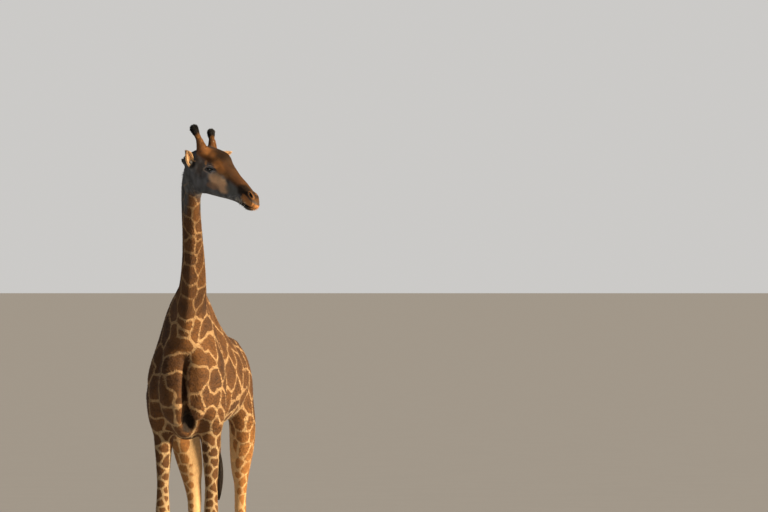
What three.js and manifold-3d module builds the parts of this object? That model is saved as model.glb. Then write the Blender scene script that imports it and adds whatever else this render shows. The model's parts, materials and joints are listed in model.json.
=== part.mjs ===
// Giraffe, young bull, standing square and looking to its own left. Life size, mm, +Z up, facing -Y.
// The flesh is one smooth field of round bars, ovals and cones; it is skinned, thinned to facets and
// cut into named parts. Horns, ears, hooves, eyes, mane and tail tuft are solids of their own.
import * as THREE from 'three';
import Module from 'manifold-3d';

const wasm = await Module();
wasm.setup();

// ------------------------------------------------------------------ sizes
const GAP = 0.3;                 // clearance between neighbouring parts
const FORE_X = 205;              // half of the stance of the fore feet
const HIND_X = 203;              // half of the stance of the hind feet
const HIND_TURN = 14;            // hind legs turned out, degrees
const HIND_AXIS_Y = 1400;
const HEAD_YAW = 65.8;           // head turned from the body's line, degrees, to its left
const HEAD_PITCH = 20.5;         // nose down, degrees
const HEAD_ROLL = 1.5;           // right side up, degrees
const POLL = [240, -940, 3934];  // where the head sits on the neck
const EYE = [240, 84, 22], EYE_R = 27;
const HORN_BASE = [100, 72, 150], HORN_TIP = [-24, 124, 296];
const HORN_R = 32, HORN_WAIST = 25, HORN_KNOB = 32;
const ELBOW_Z = 1702, STIFLE_Z = 1745, CARPUS_Z = 1035, HOCK_Z = 1050, CORONET_Z = 112;
const TUFT_Z = 1480;

// rows: y, middle z, half width, up, down, squareness
const BARREL = [
  [-300, 2120, 120, 190, 260, 2.1], [-190, 2100, 195, 280, 350, 2.1], [-30, 2100, 245, 360, 430, 2.1],
  [170, 2110, 292, 430, 445, 2.1], [420, 2120, 338, 450, 435, 2.1], [670, 2110, 368, 430, 395, 2.1],
  [900, 2110, 364, 390, 345, 2.1], [1120, 2130, 318, 340, 285, 2.1], [1290, 2170, 246, 285, 235, 2.0],
  [1395, 2190, 140, 180, 180, 2.0]];
const RIDGE = [
  [-120, 2640, 120, 240, 200, 1.8], [80, 2620, 150, 370, 200, 1.8], [230, 2600, 160, 380, 200, 1.8],
  [430, 2550, 170, 335, 200, 1.8], [680, 2470, 175, 275, 200, 1.8], [930, 2390, 175, 230, 200, 1.8],
  [1180, 2310, 150, 215, 200, 1.9], [1400, 2255, 105, 175, 180, 2.0]];
// rows: x, y, z, half width, towards the nape, towards the throat, squareness
const NECK = [
  [0, 60, 2440, 200, 330, 330, 2.0], [22, -60, 2550, 178, 300, 300, 1.9], [70, -190, 2720, 140, 245, 262, 1.8],
  [118, -320, 2920, 112, 196, 210, 1.75], [148, -450, 3130, 94, 160, 168, 1.75], [164, -575, 3330, 84, 138, 142, 1.8],
  [176, -695, 3530, 78, 122, 128, 1.9], [196, -810, 3720, 75, 98, 113, 2.0], [222, -895, 3870, 71, 58, 101, 2.0]];
// rows: outward, y, z, half width, front, back, squareness
const FORE = [
  [0, 12, 60, 60, 70, 58, 2.2], [0, 20, 130, 60, 66, 66, 2.2], [0, 30, 190, 50, 52, 58, 2.1], [0, 40, 245, 48, 50, 58, 2.1],
  [0, 45, 305, 56, 58, 70, 2.2], [0, 47, 380, 45, 45, 58, 2.2], [0, 48, 600, 39, 42, 50, 2.2],
  [0, 48, 850, 42, 46, 50, 2.2], [0, 46, 950, 54, 60, 56, 2.3], [0, 44, 1040, 60, 68, 60, 2.4],
  [0, 46, 1140, 54, 57, 56, 2.3], [0, 48, 1270, 49, 56, 60, 2.2], [-2, 50, 1400, 56, 68, 75, 2.1],
  [-4, 52, 1550, 68, 88, 100, 2.0], [-6, 55, 1700, 84, 112, 135, 2.0], [0, 50, 1850, 98, 140, 165, 2.0],
  [12, 30, 2010, 105, 160, 180, 2.0]];
const HIND = [
  [0, 1322, 60, 55, 64, 54, 2.2], [0, 1330, 130, 56, 60, 60, 2.2], [0, 1345, 190, 47, 48, 54, 2.1], [0, 1368, 245, 45, 46, 54, 2.1],
  [0, 1385, 305, 52, 55, 66, 2.2], [0, 1395, 385, 41, 43, 55, 2.2], [0, 1405, 650, 37, 44, 48, 2.2],
  [0, 1412, 900, 42, 50, 55, 2.2], [0, 1415, 1020, 50, 62, 76, 2.3], [0, 1410, 1120, 50, 70, 96, 2.2],
  [1, 1385, 1240, 58, 88, 88, 2.1], [-3, 1340, 1380, 82, 112, 96, 2.0], [2, 1285, 1530, 102, 140, 125, 2.0],
  [6, 1235, 1690, 112, 185, 165, 2.0], [6, 1205, 1860, 116, 230, 200, 2.0], [-20, 1195, 2060, 136, 262, 225, 2.0],
  [-60, 1195, 2260, 130, 235, 205, 2.0], [-90, 1195, 2400, 95, 160, 150, 2.0]];
// head, in its own frame: x forward from the poll, y left, z up
// rows: x, middle z, half width, up, down, squareness
const SKULL = [
  [-62, 8, 54, 26, 60, 2.0], [-15, 30, 70, 52, 80, 2.0], [40, 44, 86, 84, 98, 2.0], [100, 52, 95, 102, 106, 2.0],
  [165, 50, 103, 113, 112, 2.1], [235, 46, 106, 118, 112, 2.1], [300, 38, 96, 108, 104, 2.1],
  [370, 20, 76, 86, 90, 2.0], [450, -10, 60, 72, 74, 2.0], [530, -37, 53, 66, 60, 2.1],
  [600, -60, 52, 55, 54, 2.2], [660, -84, 55, 48, 48, 2.3], [700, -103, 49, 36, 38, 2.3], [716, -110, 33, 22, 25, 2.2]];
const JAW = [
  [120, -90, 60, 80, 92, 2.0], [190, -95, 70, 80, 98, 2.1], [270, -95, 66, 70, 94, 2.1], [350, -102, 55, 60, 77, 2.1],
  [440, -110, 46, 50, 55, 2.1], [530, -120, 40, 40, 38, 2.1], [600, -128, 38, 32, 38, 2.2], [655, -140, 34, 22, 30, 2.2],
  [685, -146, 26, 14, 20, 2.2]];
// ears: root, tip, way the hollow faces, all in the head's frame
const EAR = {
  left: { root: [50, 82, 16], tip: [156, 264, 158], open: [0.8, -0.5, 0.3] },
  right: { root: [48, -78, -20], tip: [84, -274, 120], open: [0.8, -0.35, 0.25] },
};
const EAR_HALF = 43, EAR_THICK = 17;
// tail rows: x, y, z, radius
const TAIL = [
  [0, 1400, 2400, 66], [0, 1478, 2392, 52], [0, 1540, 2335, 38], [0, 1572, 2240, 28], [-2, 1580, 2050, 21], [-4, 1572, 1800, 17],
  [-7, 1568, 1600, 15], [-9, 1564, 1440, 14]];
const TUFT = [
  [-8.5, 1565, 1475, 15], [-9, 1563, 1430, 24], [-10, 1561, 1370, 33], [-11, 1558, 1290, 36], [-12, 1555, 1210, 30],
  [-13, 1552, 1140, 19], [-14, 1551, 1090, 7]];

// ------------------------------------------------------------------ vectors
const dot = (a, b) => a[0] * b[0] + a[1] * b[1] + a[2] * b[2];
const add = (a, b, k = 1) => [a[0] + b[0] * k, a[1] + b[1] * k, a[2] + b[2] * k];
const sub = (a, b) => add(a, b, -1);
const cross = (a, b) => [a[1] * b[2] - a[2] * b[1], a[2] * b[0] - a[0] * b[2], a[0] * b[1] - a[1] * b[0]];
const unit = (a) => { const l = Math.hypot(...a) || 1; return [a[0] / l, a[1] / l, a[2] / l]; };
const mix = (a, b, t) => a.map((v, i) => v * (1 - t) + b[i] * t);
const rad = (d) => d * Math.PI / 180;

// head frame: forward, left, up
const yaw = rad(HEAD_YAW), pitch = rad(HEAD_PITCH), roll = rad(HEAD_ROLL);
const heading = [Math.sin(yaw), -Math.cos(yaw), 0];
const HF = [heading[0] * Math.cos(pitch), heading[1] * Math.cos(pitch), -Math.sin(pitch)];
const HU0 = [heading[0] * Math.sin(pitch), heading[1] * Math.sin(pitch), Math.cos(pitch)];
const HL0 = cross(HU0, HF);
const HL = add(HL0.map((v) => v * Math.cos(roll)), HU0, -Math.sin(roll));
const HU = add(HU0.map((v) => v * Math.cos(roll)), HL0, Math.sin(roll));
const toHead = (p) => { const d = sub(p, POLL); return [dot(d, HF), dot(d, HL), dot(d, HU)]; };
const toWorld = (q) => [0, 1, 2].map((i) => POLL[i] + HF[i] * q[0] + HL[i] * q[1] + HU[i] * q[2]);

// ------------------------------------------------------------------ field
const FAR = 400;
function spline(rows, n) {
  const k = rows[0].length, A = [rows[0].map((v, i) => 2 * v - rows[1][i]), ...rows,
    rows.at(-1).map((v, i) => 2 * v - rows.at(-2)[i])], out = [];
  for (let i = 0; i < rows.length - 1; i++) for (let j = 0; j < n; j++) {
    const t = j / n, r = [];
    for (let c = 0; c < k; c++) {
      const [p0, p1, p2, p3] = [A[i][c], A[i + 1][c], A[i + 2][c], A[i + 3][c]];
      r.push(0.5 * (2 * p1 + (p2 - p0) * t + (2 * p0 - 5 * p1 + 4 * p2 - p3) * t * t + (3 * p1 - p0 - 3 * p2 + p3) * t ** 3));
    }
    out.push(r);
  }
  out.push(rows.at(-1).slice());
  return out;
}
// a bar of oval sections along a curve; rows: x,y,z, half width, +v, -v, squareness, side vector
function bar(rows, cap = [1, 1], n = 4) {
  const Q = spline(rows, n), m = Q.length;
  const C = Q.map((r) => r.slice(0, 3)), T = [], S = [], V = [];
  for (let i = 0; i < m; i++) {
    const t = unit(sub(C[Math.min(i + 1, m - 1)], C[Math.max(i - 1, 0)]));
    let s = Q[i].slice(7, 10); s = unit(add(s, t, -dot(s, t)));
    T.push(t); S.push(s); V.push(cross(s, t));
  }
  const q = Q.map((r) => r.slice(3, 7));
  const R = Math.max(...q.map((r) => Math.max(r[0], r[1], r[2]))) * 1.05;
  const lo = [0, 1, 2].map((i) => Math.min(...C.map((c) => c[i])) - R), hi = [0, 1, 2].map((i) => Math.max(...C.map((c) => c[i])) + R);
  const f = (p) => {
    let best = 1e30, bi = 0, bt = 0;
    for (let i = 0; i < m - 1; i++) {
      const a = C[i], b = C[i + 1];
      const ex = b[0] - a[0], ey = b[1] - a[1], ez = b[2] - a[2], px = p[0] - a[0], py = p[1] - a[1], pz = p[2] - a[2];
      let t = (px * ex + py * ey + pz * ez) / (ex * ex + ey * ey + ez * ez);
      t = t < 0 ? 0 : t > 1 ? 1 : t;
      const dx = px - t * ex, dy = py - t * ey, dz = pz - t * ez, d = dx * dx + dy * dy + dz * dz;
      if (d < best) { best = d; bi = i; bt = t; }
    }
    const g = (X, c) => X[bi][c] * (1 - bt) + X[bi + 1][c] * bt;
    const D = [p[0] - g(C, 0), p[1] - g(C, 1), p[2] - g(C, 2)];
    const w = D[0] * g(T, 0) + D[1] * g(T, 1) + D[2] * g(T, 2);
    const u = D[0] * g(S, 0) + D[1] * g(S, 1) + D[2] * g(S, 2);
    const v = D[0] * g(V, 0) + D[1] * g(V, 1) + D[2] * g(V, 2);
    const a = g(q, 0), b = v > 0 ? g(q, 1) : g(q, 2), e = g(q, 3);
    const x = Math.max(Math.abs(u) / a, 1e-9), y = Math.max(Math.abs(v) / b, 1e-9);
    const first = bi === 0 && bt <= 0, last = bi === m - 2 && bt >= 1;
    const c = (first ? cap[0] : cap[1]) * Math.min(a, b);
    const z = first || last ? Math.abs(w) / c : 0;
    const k2 = Math.pow(Math.pow(x, e) + Math.pow(y, e), 1 / e), k = Math.max(Math.sqrt(k2 * k2 + z * z), 1e-9);
    const gx = Math.pow(x / Math.max(k2, 1e-9), e - 1) / a, gy = Math.pow(y / Math.max(k2, 1e-9), e - 1) / b;
    const g2 = (k2 / k) ** 2 * (gx * gx + gy * gy) + (z / k / c) ** 2;
    return (k - 1) / Math.sqrt(Math.max(g2, 1e-12));
  };
  return { f, lo, hi, C, T, S, V, q };
}
function oval(c, r, axes) {
  const A = (axes || [[1, 0, 0], [0, 1, 0], [0, 0, 1]]).map(unit), m = Math.max(...r);
  const f = (p) => {
    const d = sub(p, c), q = A.map((a, i) => dot(d, a) / r[i]);
    const k = Math.hypot(...q), g = Math.hypot(q[0] / r[0], q[1] / r[1], q[2] / r[2]);
    return g > 1e-9 ? k * (k - 1) / g : -Math.min(...r);
  };
  return { f, lo: c.map((v) => v - m), hi: c.map((v) => v + m) };
}
function cone(a, b, ra, rb) {
  const e = sub(b, a), L = dot(e, e), m = Math.max(ra, rb);
  const f = (p) => {
    const t = Math.min(1, Math.max(0, dot(sub(p, a), e) / L));
    return Math.hypot(...sub(sub(p, a), e.map((v) => v * t))) - (ra * (1 - t) + rb * t);
  };
  return { f, lo: [0, 1, 2].map((i) => Math.min(a[i], b[i]) - m), hi: [0, 1, 2].map((i) => Math.max(a[i], b[i]) + m) };
}
const near = (s, p, m) => {
  for (let i = 0; i < 3; i++) if (p[i] < s.lo[i] - m || p[i] > s.hi[i] + m) return FAR;
  return s.f(p);
};
const join = (a, b, k) => { const h = Math.max(k - Math.abs(a - b), 0) / k; return Math.min(a, b) - h * h * k * 0.25; };
const carve = (a, b, k) => -join(-a, b, k);   // a without b
const mirror = (p, i) => { const q = p.slice(); q[i] = Math.abs(q[i]); return q; };

// ------------------------------------------------------------------ body
const X = [1, 0, 0];
const barrel = bar(BARREL.map((r) => [0, ...r, ...X]), [0.7, 0.8]);
const ridge = bar(RIDGE.map((r) => [0, ...r, ...X]), [0.7, 0.8]);
const neck = bar(NECK.map((r, i) => {
  const t = Math.max(0, (i - 4) / 4);
  return [...r, ...unit(add([-(1 - t) - 0.25 * t, 0, 0], HL, -0.75 * t))];
}), [0.5, 0.7]);
function leg(rows, x0, s, turn, ay) {
  return bar(rows.map((r) => {
    const t = rad(turn) * Math.min(1, Math.max(0, (2150 - r[2]) / 400)), c = Math.cos(t), n = Math.sin(t) * s;
    const y = r[1] - ay;
    return [s * x0 + s * r[0] * c - y * n, ay + s * r[0] * n + y * c, r[2], r[3], r[4], r[5], r[6], c, n, 0];
  }), [0.6, 0.6]);
}
// the left foreleg and the right hind leg are a little broader between knee and trunk
const broader = (rows, k, lo, mid, hi) => rows.map((r) => { const z = r[2], t = z < lo || z > hi ? 0 : Math.min((z - lo) / (mid - lo), (hi - z) / (hi - mid), 1); return [r[0], r[1], z, r[3] * (1 + k * t), r[4], r[5], r[6]]; });
const legs = { fl: leg(broader(FORE, 0.16, 1050, 1350, 1900), FORE_X, 1, 0, 0), fr: leg(broader(FORE, 0.05, 1050, 1350, 1900), FORE_X, -1, 0, 0),
  hl: leg(HIND, HIND_X, 1, HIND_TURN, HIND_AXIS_Y), hr: leg(broader(HIND, 0.3, 1000, 1300, 1750), HIND_X, -1, HIND_TURN, HIND_AXIS_Y) };
const tailBar = bar(TAIL.map((r) => [r[0], r[1], r[2], r[3], r[3], r[3], 2, ...X]), [1, 0.6]);
const dock = bar(TAIL.slice(0, 3).map((r) => [r[0], r[1], r[2], r[3], r[3], r[3], 2, ...X]), [1, 0.6]);
const upperArm = oval([200, -20, 2030], [112, 215, 310], [[1, 0, 0.12], [0, 1, 0.1], [-0.12, -0.1, 1]]);
const shoulderBlade = oval([132, 70, 2450], [85, 200, 370], [[1, 0, 0.38], [0, 1, -0.28], [-0.38, 0.28, 1]]);
const breast = oval([104, -235, 2120], [112, 130, 320], [[1, 0.25, 0], [-0.25, 1, -0.12], [0, 0.12, 1]]);
const breastGroove = oval([52, -400, 2080], [18, 120, 340]);
const brisketGroove = oval([62, -225, 1790], [40, 120, 150]);
const brisket = oval([0, 10, 1800], [95, 260, 150]);
const haunch = oval([160, 1190, 2120], [134, 252, 275]);
const pelvis = oval([60, 1300, 2330], [66, 150, 100], [[1, 0, 0], [0, 1, 0.35], [0, -0.35, 1]]);

function body(p) {
  const q = mirror(p, 0);
  let d = join(near(barrel, p, 150), near(ridge, p, 150), 130);
  d = join(d, near(upperArm, q, 120), 90);
  d = join(d, near(shoulderBlade, q, 120), 110);
  d = join(d, near(breast, mirror([p[0] - 36, p[1], p[2]], 0), 120), 60);
  d = carve(d, near(breastGroove, p, 120), 40);
  d = join(d, near(brisket, p, 120), 90);
  d = carve(d, near(brisketGroove, p, 120), 40);
  d = join(d, near(haunch, q, 120), 110);
  d = join(d, near(pelvis, q, 120), 110);
  d = join(d, near(neck, p, 150), 110);
  d = join(d, near(legs.fl, p, 120), 70);
  d = join(d, near(legs.fr, p, 120), 70);
  d = join(d, near(legs.hl, p, 120), 90);
  d = join(d, near(legs.hr, p, 120), 90);
  return join(d, near(dock, p, 100), 60);
}

// ------------------------------------------------------------------ head
const skull = bar(SKULL.map((r) => [r[0], 0, r[1], r[2], r[3], r[4], r[5], 0, -1, 0]), [1, 0.9]);
const jaw = bar(JAW.map((r) => [r[0], 0, r[1], r[2], r[3], r[4], r[5], 0, -1, 0]), [1, 1]);
const foreheadBump = oval([262, 0, 132], [74, 46, 52]);
const crown = oval([150, 0, 118], [90, 70, 58]);
const hornAxis = unit(sub(HORN_TIP, HORN_BASE));
const hornBoss = cone(add(HORN_BASE, [0, 0, -25]), mix(HORN_BASE, HORN_TIP, 0.32), 50, 31);
const brow = oval([242, 84, 52], [52, 30, 22]);
const lidUpper = oval([EYE[0], EYE[1] + 1, EYE[2]], [46, 31, 31]);
const lidOpen = oval([EYE[0] + 2, EYE[1] + 30, EYE[2] - 2], [31, 34, 16], [[1, 0, -0.12], [0, 1, 0], [0.12, 0, 1]]);
const cheekbone = oval([305, 60, -12], [90, 34, 40]);
const chewMuscle = oval([184, 54, -100], [104, 34, 96], [[1, 0, 0.25], [0, 1, 0], [-0.25, 0, 1]]);
const nostrilWing = oval([658, 34, -54], [40, 22, 24], [[1, 0, -0.45], [0, 1, 0], [0.45, 0, 1]]);
const nostril = oval([664, 57, -45], [23, 17, 10], [[1, 0.3, -0.6], [0, 1, 0], [0.6, 0, 1]]);
const upperLip = oval([693, 0, -122], [41, 44, 31]);
const mouth = oval([628, 44, -139], [92, 30, 6], [[1, 0, -0.02], [0, 1, 0], [0.02, 0, 1]]);
const earStub = {};
for (const [k, e] of Object.entries(EAR)) {
  e.axis = unit(sub(e.tip, e.root));
  e.len = Math.hypot(...sub(e.tip, e.root));
  e.face = unit(add(e.open, e.axis, -dot(e.open, e.axis)));
  e.side = cross(e.face, e.axis);
  e.cut = add(e.root, e.axis, 44);
  earStub[k] = cone(e.root, add(e.root, e.axis, e.len * 0.3), 27, 24);
}
function head(w) {
  const p = toHead(w), q = mirror(p, 1);
  if (p[0] < -300 || p[0] > 900 || q[1] > 400 || Math.abs(p[2]) > 480) return FAR;
  let d = join(near(skull, p, 150), near(jaw, p, 120), 55);
  d = join(d, near(chewMuscle, q, 100), 40);
  d = join(d, near(foreheadBump, p, 100), 45);
  d = join(d, near(crown, p, 100), 60);
  d = join(d, near(hornBoss, q, 100), 40);
  d = join(d, near(brow, q, 80), 25);
  d = join(d, near(cheekbone, q, 80), 35);
  d = join(d, near(lidUpper, q, 60), 12);
  d = carve(d, near(lidOpen, q, 60), 4);
  d = join(d, near(nostrilWing, q, 60), 18);
  d = carve(d, near(nostril, q, 60), 6);
  d = join(d, near(upperLip, p, 60), 22);
  d = carve(d, near(mouth, q, 60), 8);
  d = join(d, near(earStub.left, p, 60), 16);
  d = join(d, near(earStub.right, p, 60), 16);
  return d;
}
const nape = (p) => 46 + 94 * Math.min(1, Math.max(0, (toHead(p)[0] + 60) / 150));   // the join is tight at the poll, wide at the throat
const flesh = (p) => join(body(p), head(p), nape(p));

// ------------------------------------------------------------------ skinning a field
// one vertex for each cell the surface passes through, four-sided faces between them
function skin(f, lo, hi, h, trust = 2.2) {
  const n = [0, 1, 2].map((i) => Math.ceil((hi[i] - lo[i]) / h) + 1), B = 8;
  const F = new Float32Array(n[0] * n[1] * n[2]).fill(FAR), at = (x, y, z) => (x * n[1] + y) * n[2] + z;
  const half = B * h * 0.5;
  for (let bx = 0; bx < n[0]; bx += B) for (let by = 0; by < n[1]; by += B) for (let bz = 0; bz < n[2]; bz += B) {
    const c = f([lo[0] + bx * h + half, lo[1] + by * h + half, lo[2] + bz * h + half]);
    const skip = Math.abs(c) > half * 1.75 * trust;
    for (let x = bx; x < Math.min(bx + B, n[0]); x++) for (let y = by; y < Math.min(by + B, n[1]); y++)
      for (let z = bz; z < Math.min(bz + B, n[2]); z++)
        F[at(x, y, z)] = skip ? c : f([lo[0] + x * h, lo[1] + y * h, lo[2] + z * h]);
  }
  for (let x = 0; x < n[0]; x++) for (let y = 0; y < n[1]; y++) for (let z = 0; z < n[2]; z++)
    if (x === 0 || y === 0 || z === 0 || x === n[0] - 1 || y === n[1] - 1 || z === n[2] - 1) F[at(x, y, z)] = Math.max(F[at(x, y, z)], 1);
  // no square of the grid may have its inside corners on a diagonal: the weakest corner gives way
  const unitStep = [[1, 0, 0], [0, 1, 0], [0, 0, 1]];
  for (let pass = 0, hit = 1; hit && pass < 12; pass++) {
    hit = 0;
    for (let x = 0; x < n[0] - 1; x++) for (let y = 0; y < n[1] - 1; y++) for (let z = 0; z < n[2] - 1; z++) for (const [i, j] of [[0, 1], [1, 2], [0, 2]]) {
      const u = unitStep[i], v = unitStep[j];
      const k = [at(x, y, z), at(x + u[0], y + u[1], z + u[2]), at(x + u[0] + v[0], y + u[1] + v[1], z + u[2] + v[2]), at(x + v[0], y + v[1], z + v[2])];
      const s = k.map((w) => F[w] < 0);
      if (s[0] === s[2] && s[1] === s[3] && s[0] !== s[1]) {
        let w = k[0]; for (const c of k) if (Math.abs(F[c]) < Math.abs(F[w])) w = c;
        F[w] = F[w] < 0 ? 0.02 * h : -0.02 * h; hit++;
      }
    }
  }
  const id = new Int32Array(F.length).fill(-1), pos = [];
  for (let x = 0; x < n[0] - 1; x++) for (let y = 0; y < n[1] - 1; y++) for (let z = 0; z < n[2] - 1; z++) {
    const v = [], k = at(x, y, z);
    let inside = 0;
    for (let c = 0; c < 8; c++) { const w = F[at(x + (c & 1), y + (c >> 1 & 1), z + (c >> 2))]; v.push(w); if (w < 0) inside++; }
    if (inside === 0 || inside === 8) continue;
    let sx = 0, sy = 0, sz = 0, m = 0;
    for (let a = 0; a < 8; a++) for (const bit of [1, 2, 4]) {
      if (a & bit) continue;
      const b = a | bit;
      if ((v[a] < 0) === (v[b] < 0)) continue;
      const t = v[a] / (v[a] - v[b]);
      sx += (a & 1) + (bit === 1 ? t : 0); sy += (a >> 1 & 1) + (bit === 2 ? t : 0); sz += (a >> 2) + (bit === 4 ? t : 0); m++;
    }
    id[k] = pos.length / 3;
    pos.push(lo[0] + (x + sx / m) * h, lo[1] + (y + sy / m) * h, lo[2] + (z + sz / m) * h);
  }
  const tri = [];
  const step = [[1, 0, 0], [0, 1, 0], [0, 0, 1]];
  for (let x = 0; x < n[0] - 1; x++) for (let y = 0; y < n[1] - 1; y++) for (let z = 0; z < n[2] - 1; z++) for (let a = 0; a < 3; a++) {
    const e = step[a], e1 = step[(a + 1) % 3], e2 = step[(a + 2) % 3];
    const s0 = F[at(x, y, z)] < 0, s1 = F[at(x + e[0], y + e[1], z + e[2])] < 0;
    if (s0 === s1) continue;
    const g = (u, v) => id[at(x - u * e1[0] - v * e2[0], y - u * e1[1] - v * e2[1], z - u * e1[2] - v * e2[2])];
    const q = [g(1, 1), g(0, 1), g(0, 0), g(1, 0)];
    if (!s0) q.reverse();
    tri.push(q[0], q[1], q[2], q[0], q[2], q[3]);
  }
  return { pos, tri };
}

// ------------------------------------------------------------------ thinning: joins the edges that matter least
// (with `short` set, only joins edges under that length, to clear the splinters a cut leaves)
function thin({ pos, tri }, target, short = 0) {
  const nv = pos.length / 3, P = Float64Array.from(pos), T = Int32Array.from(tri), nt = T.length / 3;
  const Q = new Float64Array(nv * 10), faces = Array.from({ length: nv }, () => []), live = new Uint8Array(nt).fill(1), stamp = new Int32Array(nv);
  const V = (i) => [P[i * 3], P[i * 3 + 1], P[i * 3 + 2]];
  for (let t = 0; t < nt; t++) {
    const [a, b, c] = [T[t * 3], T[t * 3 + 1], T[t * 3 + 2]];
    const A = V(a), nrm = cross(sub(V(b), A), sub(V(c), A)), area = Math.hypot(...nrm) || 1e-9, u = nrm.map((v) => v / area), d = -dot(u, A);
    const k = [u[0] * u[0], u[0] * u[1], u[0] * u[2], u[0] * d, u[1] * u[1], u[1] * u[2], u[1] * d, u[2] * u[2], u[2] * d, d * d];
    for (const i of [a, b, c]) { faces[i].push(t); for (let j = 0; j < 10; j++) Q[i * 10 + j] += k[j] * area; }
  }
  const err = (q, x, y, z) => q[0] * x * x + 2 * q[1] * x * y + 2 * q[2] * x * z + 2 * q[3] * x + q[4] * y * y + 2 * q[5] * y * z + 2 * q[6] * y
    + q[7] * z * z + 2 * q[8] * z + q[9];
  const heap = [];
  const less = (i, j) => heap[i].c < heap[j].c;
  const swap = (i, j) => { const t = heap[i]; heap[i] = heap[j]; heap[j] = t; };
  const push = (e) => { heap.push(e); let i = heap.length - 1; while (i > 0) { const p = (i - 1) >> 1; if (!less(i, p)) break; swap(i, p); i = p; } };
  const pop = () => {
    const top = heap[0], last = heap.pop();
    if (heap.length) { heap[0] = last; let i = 0; for (;;) { let l = 2 * i + 1, m = i; if (l < heap.length && less(l, m)) m = l; l++; if (l < heap.length && less(l, m)) m = l; if (m === i) break; swap(i, m); i = m; } }
    return top;
  };
  const offer = (a, b) => {
    const q = []; for (let j = 0; j < 10; j++) q.push(Q[a * 10 + j] + Q[b * 10 + j]);
    const A = V(a), B = V(b), M = mix(A, B, 0.5), L = Math.hypot(...sub(A, B));
    let x = M;
    if (short) { if (L < short) push({ c: L, a, b, sa: stamp[a], sb: stamp[b], x: A }); return; }
    const det = q[0] * (q[4] * q[7] - q[5] * q[5]) - q[1] * (q[1] * q[7] - q[5] * q[2]) + q[2] * (q[1] * q[5] - q[4] * q[2]);
    if (Math.abs(det) > 1e-3 * Math.abs((q[0] + q[4] + q[7]) ** 3) * 1e-3) {
      const r = [-q[3], -q[6], -q[8]];
      const s = [
        (r[0] * (q[4] * q[7] - q[5] * q[5]) - q[1] * (r[1] * q[7] - q[5] * r[2]) + q[2] * (r[1] * q[5] - q[4] * r[2])) / det,
        (q[0] * (r[1] * q[7] - q[5] * r[2]) - r[0] * (q[1] * q[7] - q[5] * q[2]) + q[2] * (q[1] * r[2] - r[1] * q[2])) / det,
        (q[0] * (q[4] * r[2] - r[1] * q[5]) - q[1] * (q[1] * r[2] - r[1] * q[2]) + r[0] * (q[1] * q[5] - q[4] * q[2])) / det];
      if (Math.hypot(...sub(s, M)) < L * 1.5) x = s;
    }
    const c = Math.max(err(q, x[0], x[1], x[2]), 0) + 1e-4 * L * L * L * L * 1e-2;
    push({ c, a, b, sa: stamp[a], sb: stamp[b], x });
  };
  const around = (i) => { const s = new Set(); for (const t of faces[i]) for (let k = 0; k < 3; k++) { const v = T[t * 3 + k]; if (v !== i) s.add(v); } return s; };
  for (let t = 0; t < nt; t++) for (let k = 0; k < 3; k++) { const a = T[t * 3 + k], b = T[t * 3 + (k + 1) % 3]; if (a < b) offer(a, b); }
  let count = nt;
  while (count > target && heap.length) {
    const { a, b, sa, sb, x } = pop();
    if (stamp[a] !== sa || stamp[b] !== sb) continue;
    const na = around(a), nb = around(b);
    let shared = 0; for (const v of na) if (nb.has(v)) shared++;
    if (shared !== 2 || na.size + nb.size - 4 < 3) continue;
    let ok = true;
    if (!short) for (const [i, o] of [[a, b], [b, a]]) for (const t of faces[i]) {
      const v = [T[t * 3], T[t * 3 + 1], T[t * 3 + 2]];
      if (v.includes(o)) continue;
      const old = v.map(V), now = v.map((w, k) => (w === i ? x : old[k]));
      const n0 = cross(sub(old[1], old[0]), sub(old[2], old[0])), n1 = cross(sub(now[1], now[0]), sub(now[2], now[0]));
      const l0 = Math.hypot(...n0), l1 = Math.hypot(...n1);
      const longest = Math.max(Math.hypot(...sub(now[0], now[1])), Math.hypot(...sub(now[1], now[2])), Math.hypot(...sub(now[2], now[0])));
      if (l1 < 1e-6 || dot(n0, n1) < 0.35 * l0 * l1 || l1 < 0.06 * longest * longest) { ok = false; break; }
    }
    if (!ok) continue;
    P[a * 3] = x[0]; P[a * 3 + 1] = x[1]; P[a * 3 + 2] = x[2];
    for (let j = 0; j < 10; j++) Q[a * 10 + j] += Q[b * 10 + j];
    const touched = new Set();
    for (const t of faces[b]) {
      const v = [T[t * 3], T[t * 3 + 1], T[t * 3 + 2]];
      if (v.includes(a)) { live[t] = 0; count--; for (const w of v) if (w !== b) { faces[w] = faces[w].filter((k) => k !== t); touched.add(w); } }
      else { for (let k = 0; k < 3; k++) if (T[t * 3 + k] === b) T[t * 3 + k] = a; faces[a].push(t); }
    }
    faces[b] = [];
    stamp[b] = -1; stamp[a]++;
    for (const v of around(a)) offer(a, v);
  }
  const map = new Map(), p2 = [], t2 = [];
  for (let t = 0; t < nt; t++) if (live[t]) for (let k = 0; k < 3; k++) {
    const v = T[t * 3 + k];
    if (!map.has(v)) { map.set(v, p2.length / 3); p2.push(...V(v)); }
    t2.push(map.get(v));
  }
  return { pos: p2, tri: t2 };
}

// ------------------------------------------------------------------ solids
const solid = ({ pos, tri }) => new wasm.Manifold(new wasm.Mesh({ numProp: 3, vertProperties: Float32Array.from(pos), triVerts: Uint32Array.from(tri) }));
function fromGeometry(g) {
  const p = g.attributes.position, key = new Map(), id = [], pos = [], tri = [];
  for (let i = 0; i < p.count; i++) {
    const v = [p.getX(i), p.getY(i), p.getZ(i)], k = v.map((c) => Math.round(c * 1e4)).join();
    if (!key.has(k)) { key.set(k, pos.length / 3); pos.push(...v); }
    id.push(key.get(k));
  }
  const ix = g.index ? Array.from(g.index.array) : id.map((_, i) => i);
  for (let i = 0; i < ix.length; i += 3) { const t = [id[ix[i]], id[ix[i + 1]], id[ix[i + 2]]]; if (t[0] !== t[1] && t[1] !== t[2] && t[2] !== t[0]) tri.push(...t); }
  return solid({ pos, tri });
}
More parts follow.
